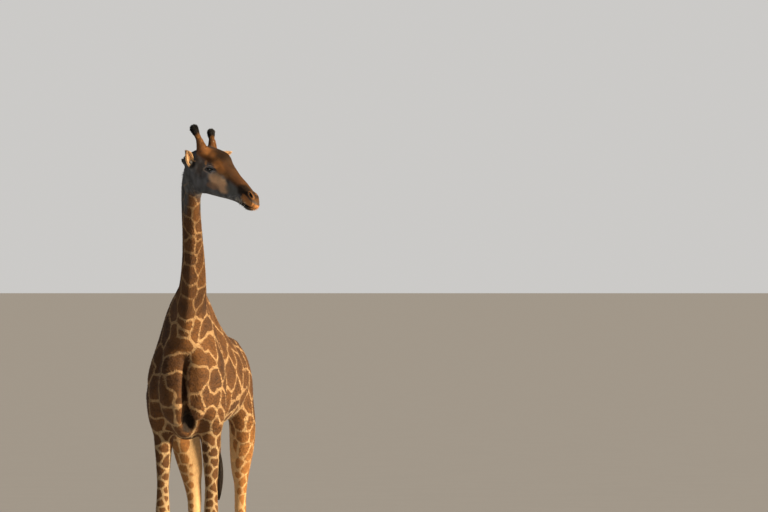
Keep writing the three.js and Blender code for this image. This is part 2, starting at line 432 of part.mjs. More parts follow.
// a block that fills the side of a plane its normal points to
function block(point, normal, size, deep = size, grow = 0) {
  const g = new THREE.BoxGeometry(size, size, deep), n = new THREE.Vector3(...unit(normal));
  g.translate(0, 0, deep / 2 - grow);
  g.applyQuaternion(new THREE.Quaternion().setFromUnitVectors(new THREE.Vector3(0, 0, 1), n));
  g.translate(...point);
  return fromGeometry(g);
}
function brick(lo, hi, grow = 0) {
  const g = new THREE.BoxGeometry(hi[0] - lo[0] + 2 * grow, hi[1] - lo[1] + 2 * grow, hi[2] - lo[2] + 2 * grow);
  g.translate((lo[0] + hi[0]) / 2, (lo[1] + hi[1]) / 2, (lo[2] + hi[2]) / 2);
  return fromGeometry(g);
}
// rings of the same number of points joined into a closed skin
function rings(R) {
  const n = R[0].length, pos = [], tri = [];
  for (const r of R) for (const p of r) pos.push(...p);
  for (let i = 0; i < R.length - 1; i++) for (let j = 0; j < n; j++) {
    const a = i * n + j, b = i * n + (j + 1) % n;
    tri.push(a, b, b + n, a, b + n, a + n);
  }
  for (const [k, flip] of [[0, true], [R.length - 1, false]]) {
    const c = pos.length / 3, m = [0, 0, 0];
    for (const p of R[k]) for (let i = 0; i < 3; i++) m[i] += p[i] / n;
    pos.push(...m);
    for (let j = 0; j < n; j++) { const a = k * n + j, b = k * n + (j + 1) % n; flip ? tri.push(b, a, c) : tri.push(a, b, c); }
  }
  let s = solid({ pos, tri });
  if (s.volume() < 0) { for (let i = 0; i < tri.length; i += 3) [tri[i], tri[i + 1]] = [tri[i + 1], tri[i]]; s = solid({ pos, tri }); }
  return s;
}
const biggest = (m) => m.decompose().sort((a, b) => b.volume() - a.volume())[0];

const group = new THREE.Group();
group.name = 'giraffe';
const made = [];
function part(name, m, color, roughness = 0.85, metalness = 0) { made.push([name, m, color, roughness, metalness]); }

const COAT = '#b5804a', FACE = '#8a6a4c', HORN = '#6e4c2e', BLACK = '#1b1613', HOOF = '#3a2f28', DARK = '#4a3526', LEG = '#c39a68';

// ------------------------------------------------------------------ cutting planes
const neckBase = { at: [84, -232, 2786], n: [0.2, -0.53, 0.82] };
const headBase = { at: toWorld([-75, 0, 55]), n: [0, 1, 2].map((i) => HF[i] * 0.774 + HU[i] * 0.633) };
const tailRoot = { at: [0, 1528, 2350], n: [0, 0.74, -0.68] };

// mane: a low crest set into a bed along the nape
const napeRing = (i, grow) => {
  const c = neck.C[i], s = neck.S[i], v = neck.V[i], up = neck.q[i][1];
  const t = (i - 9) / (neck.C.length - 1 - 9), end = Math.min(1, 6 * t + 0.25, 6 * (1 - t) + 0.35);
  const w = 15 * (0.7 + 0.3 * end) + grow, top = 46 * end + grow, bed = 7 + grow;
  const prof = [[-w, -bed], [w, -bed], [w, 6 * end], [w * 0.72, top * 0.6], [w * 0.3, top], [-w * 0.3, top], [-w * 0.72, top * 0.6], [-w, 6 * end]];
  return prof.map(([a, b]) => add(add(c, s, a), v, up + b));
};
const maneRows = []; for (let i = 9; i < neck.C.length; i += 2) maneRows.push(i); maneRows.push(neck.C.length - 1);
const maneSolid = (grow) => {
  const R = maneRows.map((i) => napeRing(i, grow));
  const back = neck.T[9].map((v) => -v * grow), fwd = neck.T.at(-1).map((v) => v * grow);
  R[0] = R[0].map((p) => add(p, back)); R[R.length - 1] = R.at(-1).map((p) => add(p, fwd));
  return rings(R);
};
// trunk and the tops of the legs
const legBox = (s, hind) => hind
  ? [[Math.min(s * 40, s * 460), 935, -50], [Math.max(s * 40, s * 460), 1620, STIFLE_Z]]
  : [[Math.min(s * 102, s * 420), -170, -50], [Math.max(s * 102, s * 420), 290, ELBOW_Z]];
{
  let t = solid(thin(skin(body, [-480, -560, 1560], [480, 1640, 3120], 19), 1480));
  t = t.subtract(block(neckBase.at, neckBase.n, 2600, 1600));
  for (const s of [1, -1]) for (const h of [false, true]) t = t.subtract(brick(...legBox(s, h)));
  t = t.subtract(block(tailRoot.at, tailRoot.n, 130, 200));
  t = t.subtract(maneSolid(GAP));
  part('trunk', biggest(t), COAT);
}
// neck
{
  let t = solid(thin(skin(flesh, [-220, -1120, 2500], [520, 160, 4060], 14), 1050));
  t = t.intersect(block(neckBase.at, neckBase.n, 2600, 1800, -GAP));
  t = t.subtract(block(headBase.at, headBase.n, 1200, 900, GAP));
  t = t.subtract(maneSolid(GAP));
  part('neck', biggest(t), COAT);
  part('mane', maneSolid(0), DARK, 0.95);
}
// head, with sockets for the eyes
const ball = (c, r) => { const g = new THREE.SphereGeometry(r, 12, 8); g.rotateX(Math.PI / 2); g.translate(...c); return fromGeometry(g); };
{
  const lo = [1e9, 1e9, 1e9], hi = [-1e9, -1e9, -1e9];
  for (const x of [-130, 800]) for (const y of [-190, 190]) for (const z of [-260, 270]) toWorld([x, y, z]).forEach((v, i) => { lo[i] = Math.min(lo[i], v); hi[i] = Math.max(hi[i], v); });
  let t = solid(thin(skin(flesh, lo, hi, 6.5), 1850));
  t = t.intersect(block(headBase.at, headBase.n, 2400, 1400));
  for (const [k, e] of Object.entries(EAR)) {
    const n = [0, 1, 2].map((i) => HF[i] * e.axis[0] + HL[i] * e.axis[1] + HU[i] * e.axis[2]);
    t = t.subtract(block(toWorld(e.cut), n, 190, 300, GAP));
  }
  for (const s of [1, -1]) {
    const flip = (v) => [v[0], v[1] * s, v[2]];
    const n = toWorld(flip(hornAxis)).map((v, i) => v - POLL[i]);
    t = t.subtract(block(toWorld(flip(add(HORN_BASE, hornAxis, 26))), n, 150, 400, GAP));
    t = t.subtract(ball(toWorld(flip(EYE)), EYE_R + GAP * 1.5));
    const side = s > 0 ? 'left' : 'right';
    part(`eye_${side}`, ball(toWorld(flip(EYE)), EYE_R), '#120c09', 0.12);
    // horn: skin covered, a little waisted, with a round black knob
    const U = unit(cross(hornAxis, [0, 1, 0])), W = cross(hornAxis, U), L = Math.hypot(...sub(HORN_TIP, HORN_BASE)), rows = [];
    const len = L + (s > 0 ? -40 : -16);
    const prof = [[26, HORN_R + 1.5], [46, HORN_R - 1], [len * 0.45, HORN_WAIST + 1], [len * 0.66, HORN_WAIST], [len * 0.78, HORN_WAIST + 4],
      [len * 0.87, HORN_KNOB - 3], [len * 0.95, HORN_KNOB], [len * 1.03, HORN_KNOB - 5], [len * 1.08, HORN_KNOB - 15]];
    for (const [a, r] of prof) {
      const ring = [];
      for (let j = 0; j < 10; j++) { const t2 = j / 10 * 2 * Math.PI, c = add(HORN_BASE, hornAxis, a); ring.push(toWorld(flip(add(add(c, U, r * Math.cos(t2)), W, r * Math.sin(t2) * 0.94)))); }
      rows.push(ring);
    }
    part(`ossicone_${side}`, rings(rows), HORN, 0.9);
  }
  t = t.subtract(maneSolid(GAP));
  part('head', biggest(t), FACE);
}
// ears: leaves with a hollow front
for (const [k, e] of Object.entries(EAR)) {
  const rows = [], n = 12, top = e.len - 44;
  for (const [t, w, d] of [[0, 0.62, 0.62], [0.14, 0.84, 0.66], [0.32, 1.0, 0.6], [0.52, 0.98, 0.52], [0.72, 0.86, 0.42], [0.88, 0.64, 0.3], [1, 0.22, 0.14]]) {
    const c = add(e.cut, e.axis, t * top), ring = [], hollow = Math.sin(Math.PI * Math.min(1, Math.max(0, t * 1.05))) * 17;
    for (let j = 0; j < n; j++) {
      const a = j / n * 2 * Math.PI, x = Math.cos(a) * EAR_HALF * w, front = Math.sin(a) > 0.01;
      const y = Math.sin(a) * EAR_THICK * d - (front ? hollow * Math.sin(a) * (1 - Math.abs(Math.cos(a)) ** 3) : 0) - 6 * (1 - (x / EAR_HALF) ** 2) * Math.min(1, t * 4);
      ring.push(toWorld(add(add(c, e.side, x), e.face, y)));
    }
    rows.push(ring);
  }
  part(`ear_${k}`, rings(rows), '#c79a63', 0.9);
}
// legs
const sides = { l: ['left', 1], r: ['right', -1] };
for (const [k, [side, s]] of Object.entries(sides)) for (const hind of [false, true]) {
  const name = hind ? 'hindleg' : 'foreleg', mid = hind ? HOCK_Z : CARPUS_Z, [lo, hi] = legBox(s, hind);
  const only = legs[(hind ? 'h' : 'f') + k].f;
  const lo2 = [lo[0] - (s > 0 ? 0 : 40), lo[1] - 60, mid - 60], hi2 = [hi[0] + (s > 0 ? 40 : 0), hi[1] + 60, hi[2] + 60];
  let up = solid(thin(skin(body, [lo2[0] - 20, lo2[1], lo2[2]], [hi2[0] + 20, hi2[1], hi2[2]], 12), hind ? 340 : 320));
  up = up.intersect(brick([lo[0] + GAP, lo[1] + GAP, mid + GAP], [hi[0] - GAP, hi[1] - GAP, hi[2] - GAP]));
  part(`${name}_upper_${side}`, biggest(up), COAT);
  let low = solid(thin(skin(only, [lo[0], hind ? 1180 : -160, CORONET_Z - 40], [hi[0], hind ? 1620 : 260, mid + 40], 8.5), 330));
  low = low.intersect(brick([lo[0], lo[1], CORONET_Z + GAP], [hi[0], hi[1], mid]));
  part(`${name}_lower_${side}`, biggest(low), LEG);
}
// hooves: two claws to a foot, flat underneath
for (const [side, s] of [['left', 1], ['right', -1]]) for (const hind of [false, true]) for (const inner of [false, true]) {
  const len = hind ? 218 : 252, wide = hind ? 60 : 68, a = rad(hind ? HIND_TURN : 4) * -s;
  const cx = s * (hind ? HIND_X : FORE_X), cy = hind ? 1322 : 6, sgn = (inner ? -1 : 1) * s, R = [];
  const c0 = Math.cos(-a), s0 = Math.sin(-a);
  for (const [z, k, back, kw] of [[0, 1, 0, 1], [14, 0.995, 1, 1], [58, 0.86, 9, 0.96], [CORONET_Z - GAP, 0.66, 20, 0.9]]) {
    const ring = [], n = 12;
    for (let j = 0; j < n; j++) {
      const t = j / n * 2 * Math.PI, along = -Math.cos(t), across = Math.sin(t);
      let y = along * len * 0.5 * k + back, x = Math.sign(across) * Math.abs(across) ** 0.75 * wide * 0.5 * kw;
      if (along < 0) x *= 1 - 0.25 * along * along;                                // toe narrows
      if (across * 1 < 0) x = Math.max(x, -wide * 0.5 * kw * 0.84);                 // flat towards its neighbour
      x = sgn * (x + wide * 0.42 + 1.6);
      ring.push([cx + x * c0 - y * s0, cy + x * s0 + y * c0, z]);
    }
    R.push(ring);
  }
  part(`hoof_${hind ? 'hind' : 'fore'}_${side}_${inner ? 'inner' : 'outer'}`, rings(R), HOOF, 0.55);
}
// tail and its tuft
{
  let t = solid(thin(skin(tailBar.f, [-90, 1380, TUFT_Z - 40], [90, 1640, 2480], 7), 200));
  t = t.intersect(block(tailRoot.at, tailRoot.n, 2400, 1400, -GAP)).intersect(brick([-90, 1380, TUFT_Z + GAP], [90, 1640, 2600]));
  part('tail', biggest(t), COAT);
  const T = spline(TUFT, 2).map((r, i) => { const ring = []; for (let j = 0; j < 8; j++) { const a = j / 8 * 2 * Math.PI, w = 1 + 0.14 * Math.sin(3 * a + i); ring.push([r[0] + r[3] * w * Math.cos(a), r[1] + r[3] * w * Math.sin(a) * 0.9, i === 0 ? TUFT_Z : r[2]]); } return ring; });
  part('tail_tuft', rings(T), BLACK, 0.95);
}

// ------------------------------------------------------------------ out, standing on z = 0 with the box centred
const lo = [1e9, 1e9, 1e9], hi = [-1e9, -1e9, -1e9];
const out = made.map(([name, m, color, roughness, metalness]) => {
  const g = m.getMesh(), raw = [];
  for (let i = 0; i < g.vertProperties.length; i += g.numProp) raw.push(g.vertProperties[i], g.vertProperties[i + 1], g.vertProperties[i + 2]);
  const { pos, tri } = thin({ pos: raw, tri: Array.from(g.triVerts) }, 0, 0.6);
  pos.forEach((v, i) => { lo[i % 3] = Math.min(lo[i % 3], v); hi[i % 3] = Math.max(hi[i % 3], v); });
  return { name, pos, tri, color, roughness, metalness };
});
const shift = [-(lo[0] + hi[0]) / 2, -(lo[1] + hi[1]) / 2, -lo[2]];
for (const o of out) {
  const g = new THREE.BufferGeometry();
  g.setAttribute('position', new THREE.Float32BufferAttribute(o.pos.map((v, i) => v + shift[i % 3]), 3));
  g.setIndex(o.tri);
  g.computeVertexNormals();
  const m = new THREE.Mesh(g, new THREE.MeshStandardMaterial({ color: o.color, roughness: o.roughness, metalness: o.metalness }));
  m.name = o.name;
  group.add(m);
}

export default group;
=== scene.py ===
# Looks of the giraffe: one skin over the flesh, its markings, the coat where it stands up, eyes, horns, hooves.
# All shapes come from named sizes in millimetres, in the model's own frame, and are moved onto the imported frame.
import bpy, json, math, time
import numpy as np
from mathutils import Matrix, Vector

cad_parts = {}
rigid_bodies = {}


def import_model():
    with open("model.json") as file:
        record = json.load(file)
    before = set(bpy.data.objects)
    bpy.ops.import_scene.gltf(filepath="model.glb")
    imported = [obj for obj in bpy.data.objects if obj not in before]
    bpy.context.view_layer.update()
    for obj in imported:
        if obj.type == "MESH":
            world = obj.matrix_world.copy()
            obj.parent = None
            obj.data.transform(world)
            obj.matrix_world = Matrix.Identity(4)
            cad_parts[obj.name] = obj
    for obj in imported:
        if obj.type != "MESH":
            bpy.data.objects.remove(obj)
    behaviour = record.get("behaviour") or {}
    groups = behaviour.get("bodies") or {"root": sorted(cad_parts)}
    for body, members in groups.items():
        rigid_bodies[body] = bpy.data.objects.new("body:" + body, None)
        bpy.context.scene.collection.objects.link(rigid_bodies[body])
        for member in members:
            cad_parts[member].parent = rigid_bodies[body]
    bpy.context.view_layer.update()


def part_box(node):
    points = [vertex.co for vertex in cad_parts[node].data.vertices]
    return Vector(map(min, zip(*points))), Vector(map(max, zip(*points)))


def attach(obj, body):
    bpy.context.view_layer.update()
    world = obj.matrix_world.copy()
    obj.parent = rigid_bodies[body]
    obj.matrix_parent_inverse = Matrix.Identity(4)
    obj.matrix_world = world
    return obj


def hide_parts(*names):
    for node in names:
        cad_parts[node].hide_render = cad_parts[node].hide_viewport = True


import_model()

T0 = time.time()
def log(*a): print("[scene]", round(time.time() - T0, 1), *a)

# ------------------------------------------------------------------ sizes, mm
FORE_X, HIND_X, HIND_TURN, HIND_AXIS_Y = 205, 203, 14, 1400
HEAD_YAW, HEAD_PITCH, HEAD_ROLL = 65.8, 20.5, 1.5
POLL = np.array([240., -940, 3934])
EYE, EYE_R = np.array([240., 84, 22]), 27.
HORN_BASE, HORN_TIP = np.array([100., 72, 150]), np.array([-24., 124, 296])
HORN_R, HORN_WAIST, HORN_KNOB = 32, 25, 32
CORONET_Z = 112
BARREL = [(-300, 2120, 120, 190, 260, 2.1), (-190, 2100, 195, 280, 350, 2.1), (-30, 2100, 245, 360, 430, 2.1),
  (170, 2110, 292, 430, 445, 2.1), (420, 2120, 338, 450, 435, 2.1), (670, 2110, 368, 430, 395, 2.1),
  (900, 2110, 364, 390, 345, 2.1), (1120, 2130, 318, 340, 285, 2.1), (1290, 2170, 246, 285, 235, 2.0),
  (1395, 2190, 140, 180, 180, 2.0)]
RIDGE = [(-120, 2640, 120, 240, 200, 1.8), (80, 2620, 150, 370, 200, 1.8), (230, 2600, 160, 380, 200, 1.8),
  (430, 2550, 170, 335, 200, 1.8), (680, 2470, 175, 275, 200, 1.8), (930, 2390, 175, 230, 200, 1.8),
  (1180, 2310, 150, 215, 200, 1.9), (1400, 2255, 105, 175, 180, 2.0)]
NECK = [(0, 60, 2440, 200, 330, 330, 2.0), (22, -60, 2550, 178, 300, 300, 1.9), (70, -190, 2720, 140, 245, 262, 1.8),
  (118, -320, 2920, 112, 196, 210, 1.75), (148, -450, 3130, 94, 160, 168, 1.75), (164, -575, 3330, 84, 138, 142, 1.8),
  (176, -695, 3530, 78, 122, 128, 1.9), (196, -810, 3720, 75, 98, 113, 2.0), (222, -895, 3870, 71, 58, 101, 2.0)]
FORE = [(0, 12, 60, 60, 70, 58, 2.2), (0, 20, 130, 60, 66, 66, 2.2), (0, 30, 190, 50, 52, 58, 2.1), (0, 40, 245, 48, 50, 58, 2.1),
  (0, 45, 305, 56, 58, 70, 2.2), (0, 47, 380, 45, 45, 58, 2.2), (0, 48, 600, 39, 42, 50, 2.2),
  (0, 48, 850, 42, 46, 50, 2.2), (0, 46, 950, 54, 60, 56, 2.3), (0, 44, 1040, 60, 68, 60, 2.4),
  (0, 46, 1140, 54, 57, 56, 2.3), (0, 48, 1270, 49, 56, 60, 2.2), (-2, 50, 1400, 56, 68, 75, 2.1),
  (-4, 52, 1550, 68, 88, 100, 2.0), (-6, 55, 1700, 84, 112, 135, 2.0), (0, 50, 1850, 98, 140, 165, 2.0),
  (12, 30, 2010, 105, 160, 180, 2.0)]
HIND = [(0, 1322, 60, 55, 64, 54, 2.2), (0, 1330, 130, 56, 60, 60, 2.2), (0, 1345, 190, 47, 48, 54, 2.1), (0, 1368, 245, 45, 46, 54, 2.1),
  (0, 1385, 305, 52, 55, 66, 2.2), (0, 1395, 385, 41, 43, 55, 2.2), (0, 1405, 650, 37, 44, 48, 2.2),
  (0, 1412, 900, 42, 50, 55, 2.2), (0, 1415, 1020, 50, 62, 76, 2.3), (0, 1410, 1120, 50, 70, 96, 2.2),
  (1, 1385, 1240, 58, 88, 88, 2.1), (-3, 1340, 1380, 82, 112, 96, 2.0), (2, 1285, 1530, 102, 140, 125, 2.0),
  (6, 1235, 1690, 112, 185, 165, 2.0), (6, 1205, 1860, 116, 230, 200, 2.0), (-20, 1195, 2060, 136, 262, 225, 2.0),
  (-60, 1195, 2260, 130, 235, 205, 2.0), (-90, 1195, 2400, 95, 160, 150, 2.0)]
SKULL = [(-62, 8, 54, 26, 60, 2.0), (-15, 30, 70, 52, 80, 2.0), (40, 44, 86, 84, 98, 2.0), (100, 52, 95, 102, 106, 2.0),
  (165, 50, 103, 113, 112, 2.1), (235, 46, 106, 118, 112, 2.1), (300, 38, 96, 108, 104, 2.1),
  (370, 20, 76, 86, 90, 2.0), (450, -10, 60, 72, 74, 2.0), (530, -37, 53, 66, 60, 2.1),
  (600, -60, 52, 55, 54, 2.2), (660, -84, 55, 48, 48, 2.3), (700, -103, 49, 36, 38, 2.3), (716, -110, 33, 22, 25, 2.2)]
JAW = [(120, -90, 60, 80, 92, 2.0), (190, -95, 70, 80, 98, 2.1), (270, -95, 66, 70, 94, 2.1), (350, -102, 55, 60, 77, 2.1),
  (440, -110, 46, 50, 55, 2.1), (530, -120, 40, 40, 38, 2.1), (600, -128, 38, 32, 38, 2.2), (655, -140, 34, 22, 30, 2.2),
  (685, -146, 26, 14, 20, 2.2)]
EAR = {1: dict(root=np.array([50., 82, 16]), tip=np.array([156., 264, 158]), open=np.array([.8, -.5, .3])),
       -1: dict(root=np.array([48., -78, -20]), tip=np.array([84., -274, 120]), open=np.array([.8, -.35, .25]))}
EAR_HALF = 43
TAIL = [(0, 1400, 2400, 66), (0, 1478, 2392, 52), (0, 1540, 2335, 38), (0, 1572, 2240, 28), (-2, 1580, 2050, 21), (-4, 1572, 1800, 17),
  (-7, 1568, 1600, 15), (-9, 1564, 1440, 14), (-10, 1561, 1340, 12)]

# ------------------------------------------------------------------ maths
def nrm(v):
    v = np.asarray(v, float); return v / max(np.linalg.norm(v), 1e-12)
yaw, pitch, roll = map(math.radians, (HEAD_YAW, HEAD_PITCH, HEAD_ROLL))
_h = np.array([math.sin(yaw), -math.cos(yaw), 0])
HF = _h * math.cos(pitch) - np.array([0, 0, math.sin(pitch)])
_u = _h * math.sin(pitch) + np.array([0, 0, math.cos(pitch)])
_l = np.cross(_u, HF)
HL, HU = _l * math.cos(roll) - _u * math.sin(roll), _u * math.cos(roll) + _l * math.sin(roll)
HM = np.array([HF, HL, HU])
def to_head(P): return (P - POLL) @ HM.T
def to_world(Q): return np.asarray(Q, float) @ HM + POLL

def spline(P, n):
    P = np.asarray(P, float); A = np.vstack([2 * P[0] - P[1], P, 2 * P[-1] - P[-2]])
    t = np.linspace(0, 1, n, endpoint=False)[:, None]; out = []
    for i in range(len(P) - 1):
        p0, p1, p2, p3 = A[i], A[i + 1], A[i + 2], A[i + 3]
        out.append(0.5 * (2 * p1 + (p2 - p0) * t + (2 * p0 - 5 * p1 + 4 * p2 - p3) * t * t + (3 * p1 - p0 - 3 * p2 + p3) * t ** 3))
    out.append(P[-1:]); return np.vstack(out)

class Bar:
    """Oval sections along a curve. Rows: x, y, z, half width, +v, -v, squareness; side: a vector, or one a row."""
    def __init__(s, rows, side, cap=(1, 1), n=4):
        st = np.asarray(rows, float); sd = np.asarray(side, float)
        if sd.ndim == 1: sd = np.repeat(sd[None], len(st), 0)
        Q = spline(np.hstack([st, sd]), n)
        s.c, s.q = Q[:, :3], Q[:, 3:7]
        T = np.empty_like(s.c); m = len(T)
        for i in range(m): T[i] = nrm(s.c[min(i + 1, m - 1)] - s.c[max(i - 1, 0)])
        S = Q[:, 7:10]; S = S - T * np.sum(S * T, 1, keepdims=True); S /= np.linalg.norm(S, axis=1, keepdims=True)
        s.T, s.S, s.V, s.cap = T, S, np.cross(S, T), cap
        r = s.q[:, :3].max() * 1.05
        s.lo, s.hi = s.c.min(0) - r, s.c.max(0) + r
    def near(s, P):
        A, B = s.c[:-1], s.c[1:]; AB = B - A; L2 = np.sum(AB * AB, 1)
        best = np.full(len(P), 1e30); bt = np.zeros(len(P)); bi = np.zeros(len(P), np.int32)
        for i in range(len(A)):
            D = P - A[i]
            t = np.clip((D @ AB[i]) / L2[i], 0, 1)
            D = D - t[:, None] * AB[i]
            dd = np.einsum('ij,ij->i', D, D); m = dd < best
            best[m] = dd[m]; bt[m] = t[m]; bi[m] = i
        return bi, bt
    def local(s, P):
        bi, bt = s.near(P); t = bt[:, None]
        L = lambda X: X[bi] * (1 - t) + X[bi + 1] * t
        D = P - L(s.c)
        return bi, bt, np.einsum('ij,ij->i', D, L(s.T)), np.einsum('ij,ij->i', D, L(s.S)), np.einsum('ij,ij->i', D, L(s.V)), L(s.q)
    def d(s, P):
        bi, bt, w, u, v, q = s.local(P)
        a, b, n = q[:, 0], np.where(v > 0, q[:, 1], q[:, 2]), q[:, 3]
        x, y = np.maximum(np.abs(u) / a, 1e-9), np.maximum(np.abs(v) / b, 1e-9)
        first, last = (bi == 0) & (bt <= 0), (bi == len(s.c) - 2) & (bt >= 1)
        c = np.where(first, s.cap[0], s.cap[1]) * np.minimum(a, b)
        z = np.where(first | last, np.abs(w) / c, 0)
        k2 = (x ** n + y ** n) ** (1 / n); k = np.maximum(np.sqrt(k2 * k2 + z * z), 1e-9); k2 = np.maximum(k2, 1e-9)
        gx, gy = (x / k2) ** (n - 1) / a, (y / k2) ** (n - 1) / b
        g2 = (k2 / k) ** 2 * (gx * gx + gy * gy) + (z / k / c) ** 2
        return (k - 1) / np.sqrt(np.maximum(g2, 1e-12))
class Oval:
    def __init__(s, c, r, axes=None):
        s.c, s.r = np.asarray(c, float), np.asarray(r, float)
        s.R = np.eye(3) if axes is None else np.array([nrm(a) for a in axes])
        m = s.r.max(); s.lo, s.hi = s.c - m, s.c + m
    def d(s, P):
        D = (P - s.c) @ s.R.T; q = D / s.r; g = D / (s.r * s.r)
        k = np.sqrt(np.einsum('ij,ij->i', q, q)); gn = np.sqrt(np.einsum('ij,ij->i', g, g))
        return np.where(gn > 1e-9, k * (k - 1) / np.maximum(gn, 1e-9), -s.r.min())
class Cone:
    def __init__(s, a, b, ra, rb):
        s.a, s.b, s.ra, s.rb = np.asarray(a, float), np.asarray(b, float), ra, rb
        m = max(ra, rb); s.lo, s.hi = np.minimum(s.a, s.b) - m, np.maximum(s.a, s.b) + m
    def d(s, P):
        e = s.b - s.a; t = np.clip(((P - s.a) @ e) / (e @ e), 0, 1); D = P - s.a - t[:, None] * e
        return np.sqrt(np.einsum('ij,ij->i', D, D)) - (s.ra * (1 - t) + s.rb * t)
FAR = 400.
def near(prim, P, m):
    k = np.all((P >= prim.lo - m) & (P <= prim.hi + m), axis=1)
    out = np.full(len(P), FAR)
    if k.any(): out[k] = prim.d(P[k])
    return out
def join(a, b, k):
    h = np.maximum(k - np.abs(a - b), 0) / k; return np.minimum(a, b) - h * h * k * 0.25
def carve(a, b, k): return -join(-a, b, k)
def fold(P, i=0):
    Q = P.copy(); Q[:, i] = np.abs(Q[:, i]); return Q
def step(x, a, b):
    t = np.clip((x - a) / (b - a), 0, 1); return t * t * (3 - 2 * t)
def blob(P, c, r, soft=.5):
    """1 inside an oval at c with radii r, fading out to 0 over soft of its size"""
    k = np.sqrt(np.sum(((P - np.asarray(c, float)) / np.asarray(r, float)) ** 2, 1))
    return 1 - step(k, 1 - soft * .5, 1 + soft * .5)
def wave(P, size, seed=0):
    """smooth value noise from a lattice, about -1 to 1"""
    Q = P / size + 100.; I = np.floor(Q).astype(np.int64); f = Q - I; f = f * f * (3 - 2 * f); out = 0
    for dx in (0, 1):
        for dy in (0, 1):
            for dz in (0, 1):
                n = (I[:, 0] + dx) * 73856093 ^ (I[:, 1] + dy) * 19349663 ^ (I[:, 2] + dz) * 83492791 ^ (seed * 2654435761)
                n = (n ^ (n >> 13)) * 1274126177 & 0x7fffffff; n = n ^ (n >> 16)
                w = (f[:, 0] if dx else 1 - f[:, 0]) * (f[:, 1] if dy else 1 - f[:, 1]) * (f[:, 2] if dz else 1 - f[:, 2])
                out = out + w * ((n & 0xffff) / 32767.5 - 1)
    return out

# ------------------------------------------------------------------ the flesh as a field
X = (1., 0, 0)
barrel = Bar([(0, *r) for r in BARREL], X, (.7, .8)); ridge = Bar([(0, *r) for r in RIDGE], X, (.7, .8))
_ns = []
for i, r in enumerate(NECK):
    t = max(0, (i - 4) / 4.)
    _ns.append(nrm(np.array([-(1 - t) - .25 * t, 0, 0]) - HL * .75 * t))
neck = Bar(NECK, _ns, (.5, .7))
def leg(rows, x0, s, turn=0, ay=0):
    st, sd = [], []
    for r in rows:
        t = math.radians(turn) * min(1, max(0, (2150 - r[2]) / 400)); c, n = math.cos(t), math.sin(t) * s; y = r[1] - ay
        st.append((s * x0 + s * r[0] * c - y * n, ay + s * r[0] * n + y * c, *r[2:])); sd.append((c, n, 0))
    return Bar(st, sd, (.6, .6))
def broader(rows, k, lo, mid, hi):
    out = []
    for r in rows:
        z = r[2]; t = 0 if z < lo or z > hi else min((z - lo) / (mid - lo), (hi - z) / (hi - mid), 1); out.append((*r[:3], r[3] * (1 + k * t), *r[4:]))
    return out
legs = {('f', 1): leg(broader(FORE, .16, 1050, 1350, 1900), FORE_X, 1), ('f', -1): leg(broader(FORE, .05, 1050, 1350, 1900), FORE_X, -1),
        ('h', 1): leg(HIND, HIND_X, 1, HIND_TURN, HIND_AXIS_Y), ('h', -1): leg(broader(HIND, .3, 1000, 1300, 1750), HIND_X, -1, HIND_TURN, HIND_AXIS_Y)}
tail_bar = Bar([(r[0], r[1], r[2], r[3], r[3], r[3], 2) for r in TAIL], X, (1, .6))
M = {k: Oval(*v) for k, v in dict(
    upper_arm=([200, -20, 2030], [112, 215, 310], [(1, 0, .12), (0, 1, .1), (-.12, -.1, 1)]),
    blade=([132, 70, 2450], [85, 200, 370], [(1, 0, .38), (0, 1, -.28), (-.38, .28, 1)]),
    breast=([104, -235, 2120], [112, 130, 320], [(1, .25, 0), (-.25, 1, -.12), (0, .12, 1)]),
    groove=([52, -400, 2080], [21, 130, 345]), groove2=([62, -225, 1790], [44, 126, 155]), brisket=([0, 10, 1800], [95, 260, 150]),
    haunch=([160, 1190, 2120], [134, 252, 275]), pelvis=([60, 1300, 2330], [66, 150, 100], [(1, 0, 0), (0, 1, .35), (0, -.35, 1)]),
    # under the skin: muscles and hollows that show as soft relief
    blade_spine=([158, 110, 2520], [16, 40, 250], [(1, 0, .42), (0, 1, -.34), (-.42, .34, 1)]),
    behind_arm=([330, 250, 1990], [30, 40, 210]), elbow=([232, 165, 1800], [48, 46, 62]),
    forearm=([232, -20, 1640], [52, 62, 150]), flank=([330, 1010, 2060], [50, 70, 170], [(1, 0, 0), (0, 1, .45), (0, -.45, 1)]),
    hip=([150, 1090, 2385], [40, 46, 34]), stifle=([232, 1060, 1760], [52, 56, 80]),
    thigh_groove=([300, 1330, 1990], [26, 30, 190], [(1, 0, 0), (0, 1, -.25), (0, .25, 1)]),
    sheath=([0, 900, 1765], [34, 130, 38]),
).items()}
def body(P):
    Q = fold(P)
    d = join(near(barrel, P, 150), near(ridge, P, 150), 130)
    d = join(d, near(M['upper_arm'], Q, 120), 90); d = join(d, near(M['blade'], Q, 120), 110)
    d = join(d, near(M['breast'], fold(P - [36., 0, 0]), 120), 60); d = carve(d, near(M['groove'], P, 120), 40)
    d = join(d, near(M['brisket'], P, 120), 90); d = carve(d, near(M['groove2'], P, 120), 40); d = join(d, near(M['haunch'], Q, 120), 110)
    d = join(d, near(M['pelvis'], Q, 120), 110); d = join(d, near(neck, P, 150), 110)
    for k, w in ((('f', 1), 70), (('f', -1), 70), (('h', 1), 90), (('h', -1), 90)): d = join(d, near(legs[k], P, 120), w)
    d = join(d, near(tail_bar, P, 100), 50)
    return d
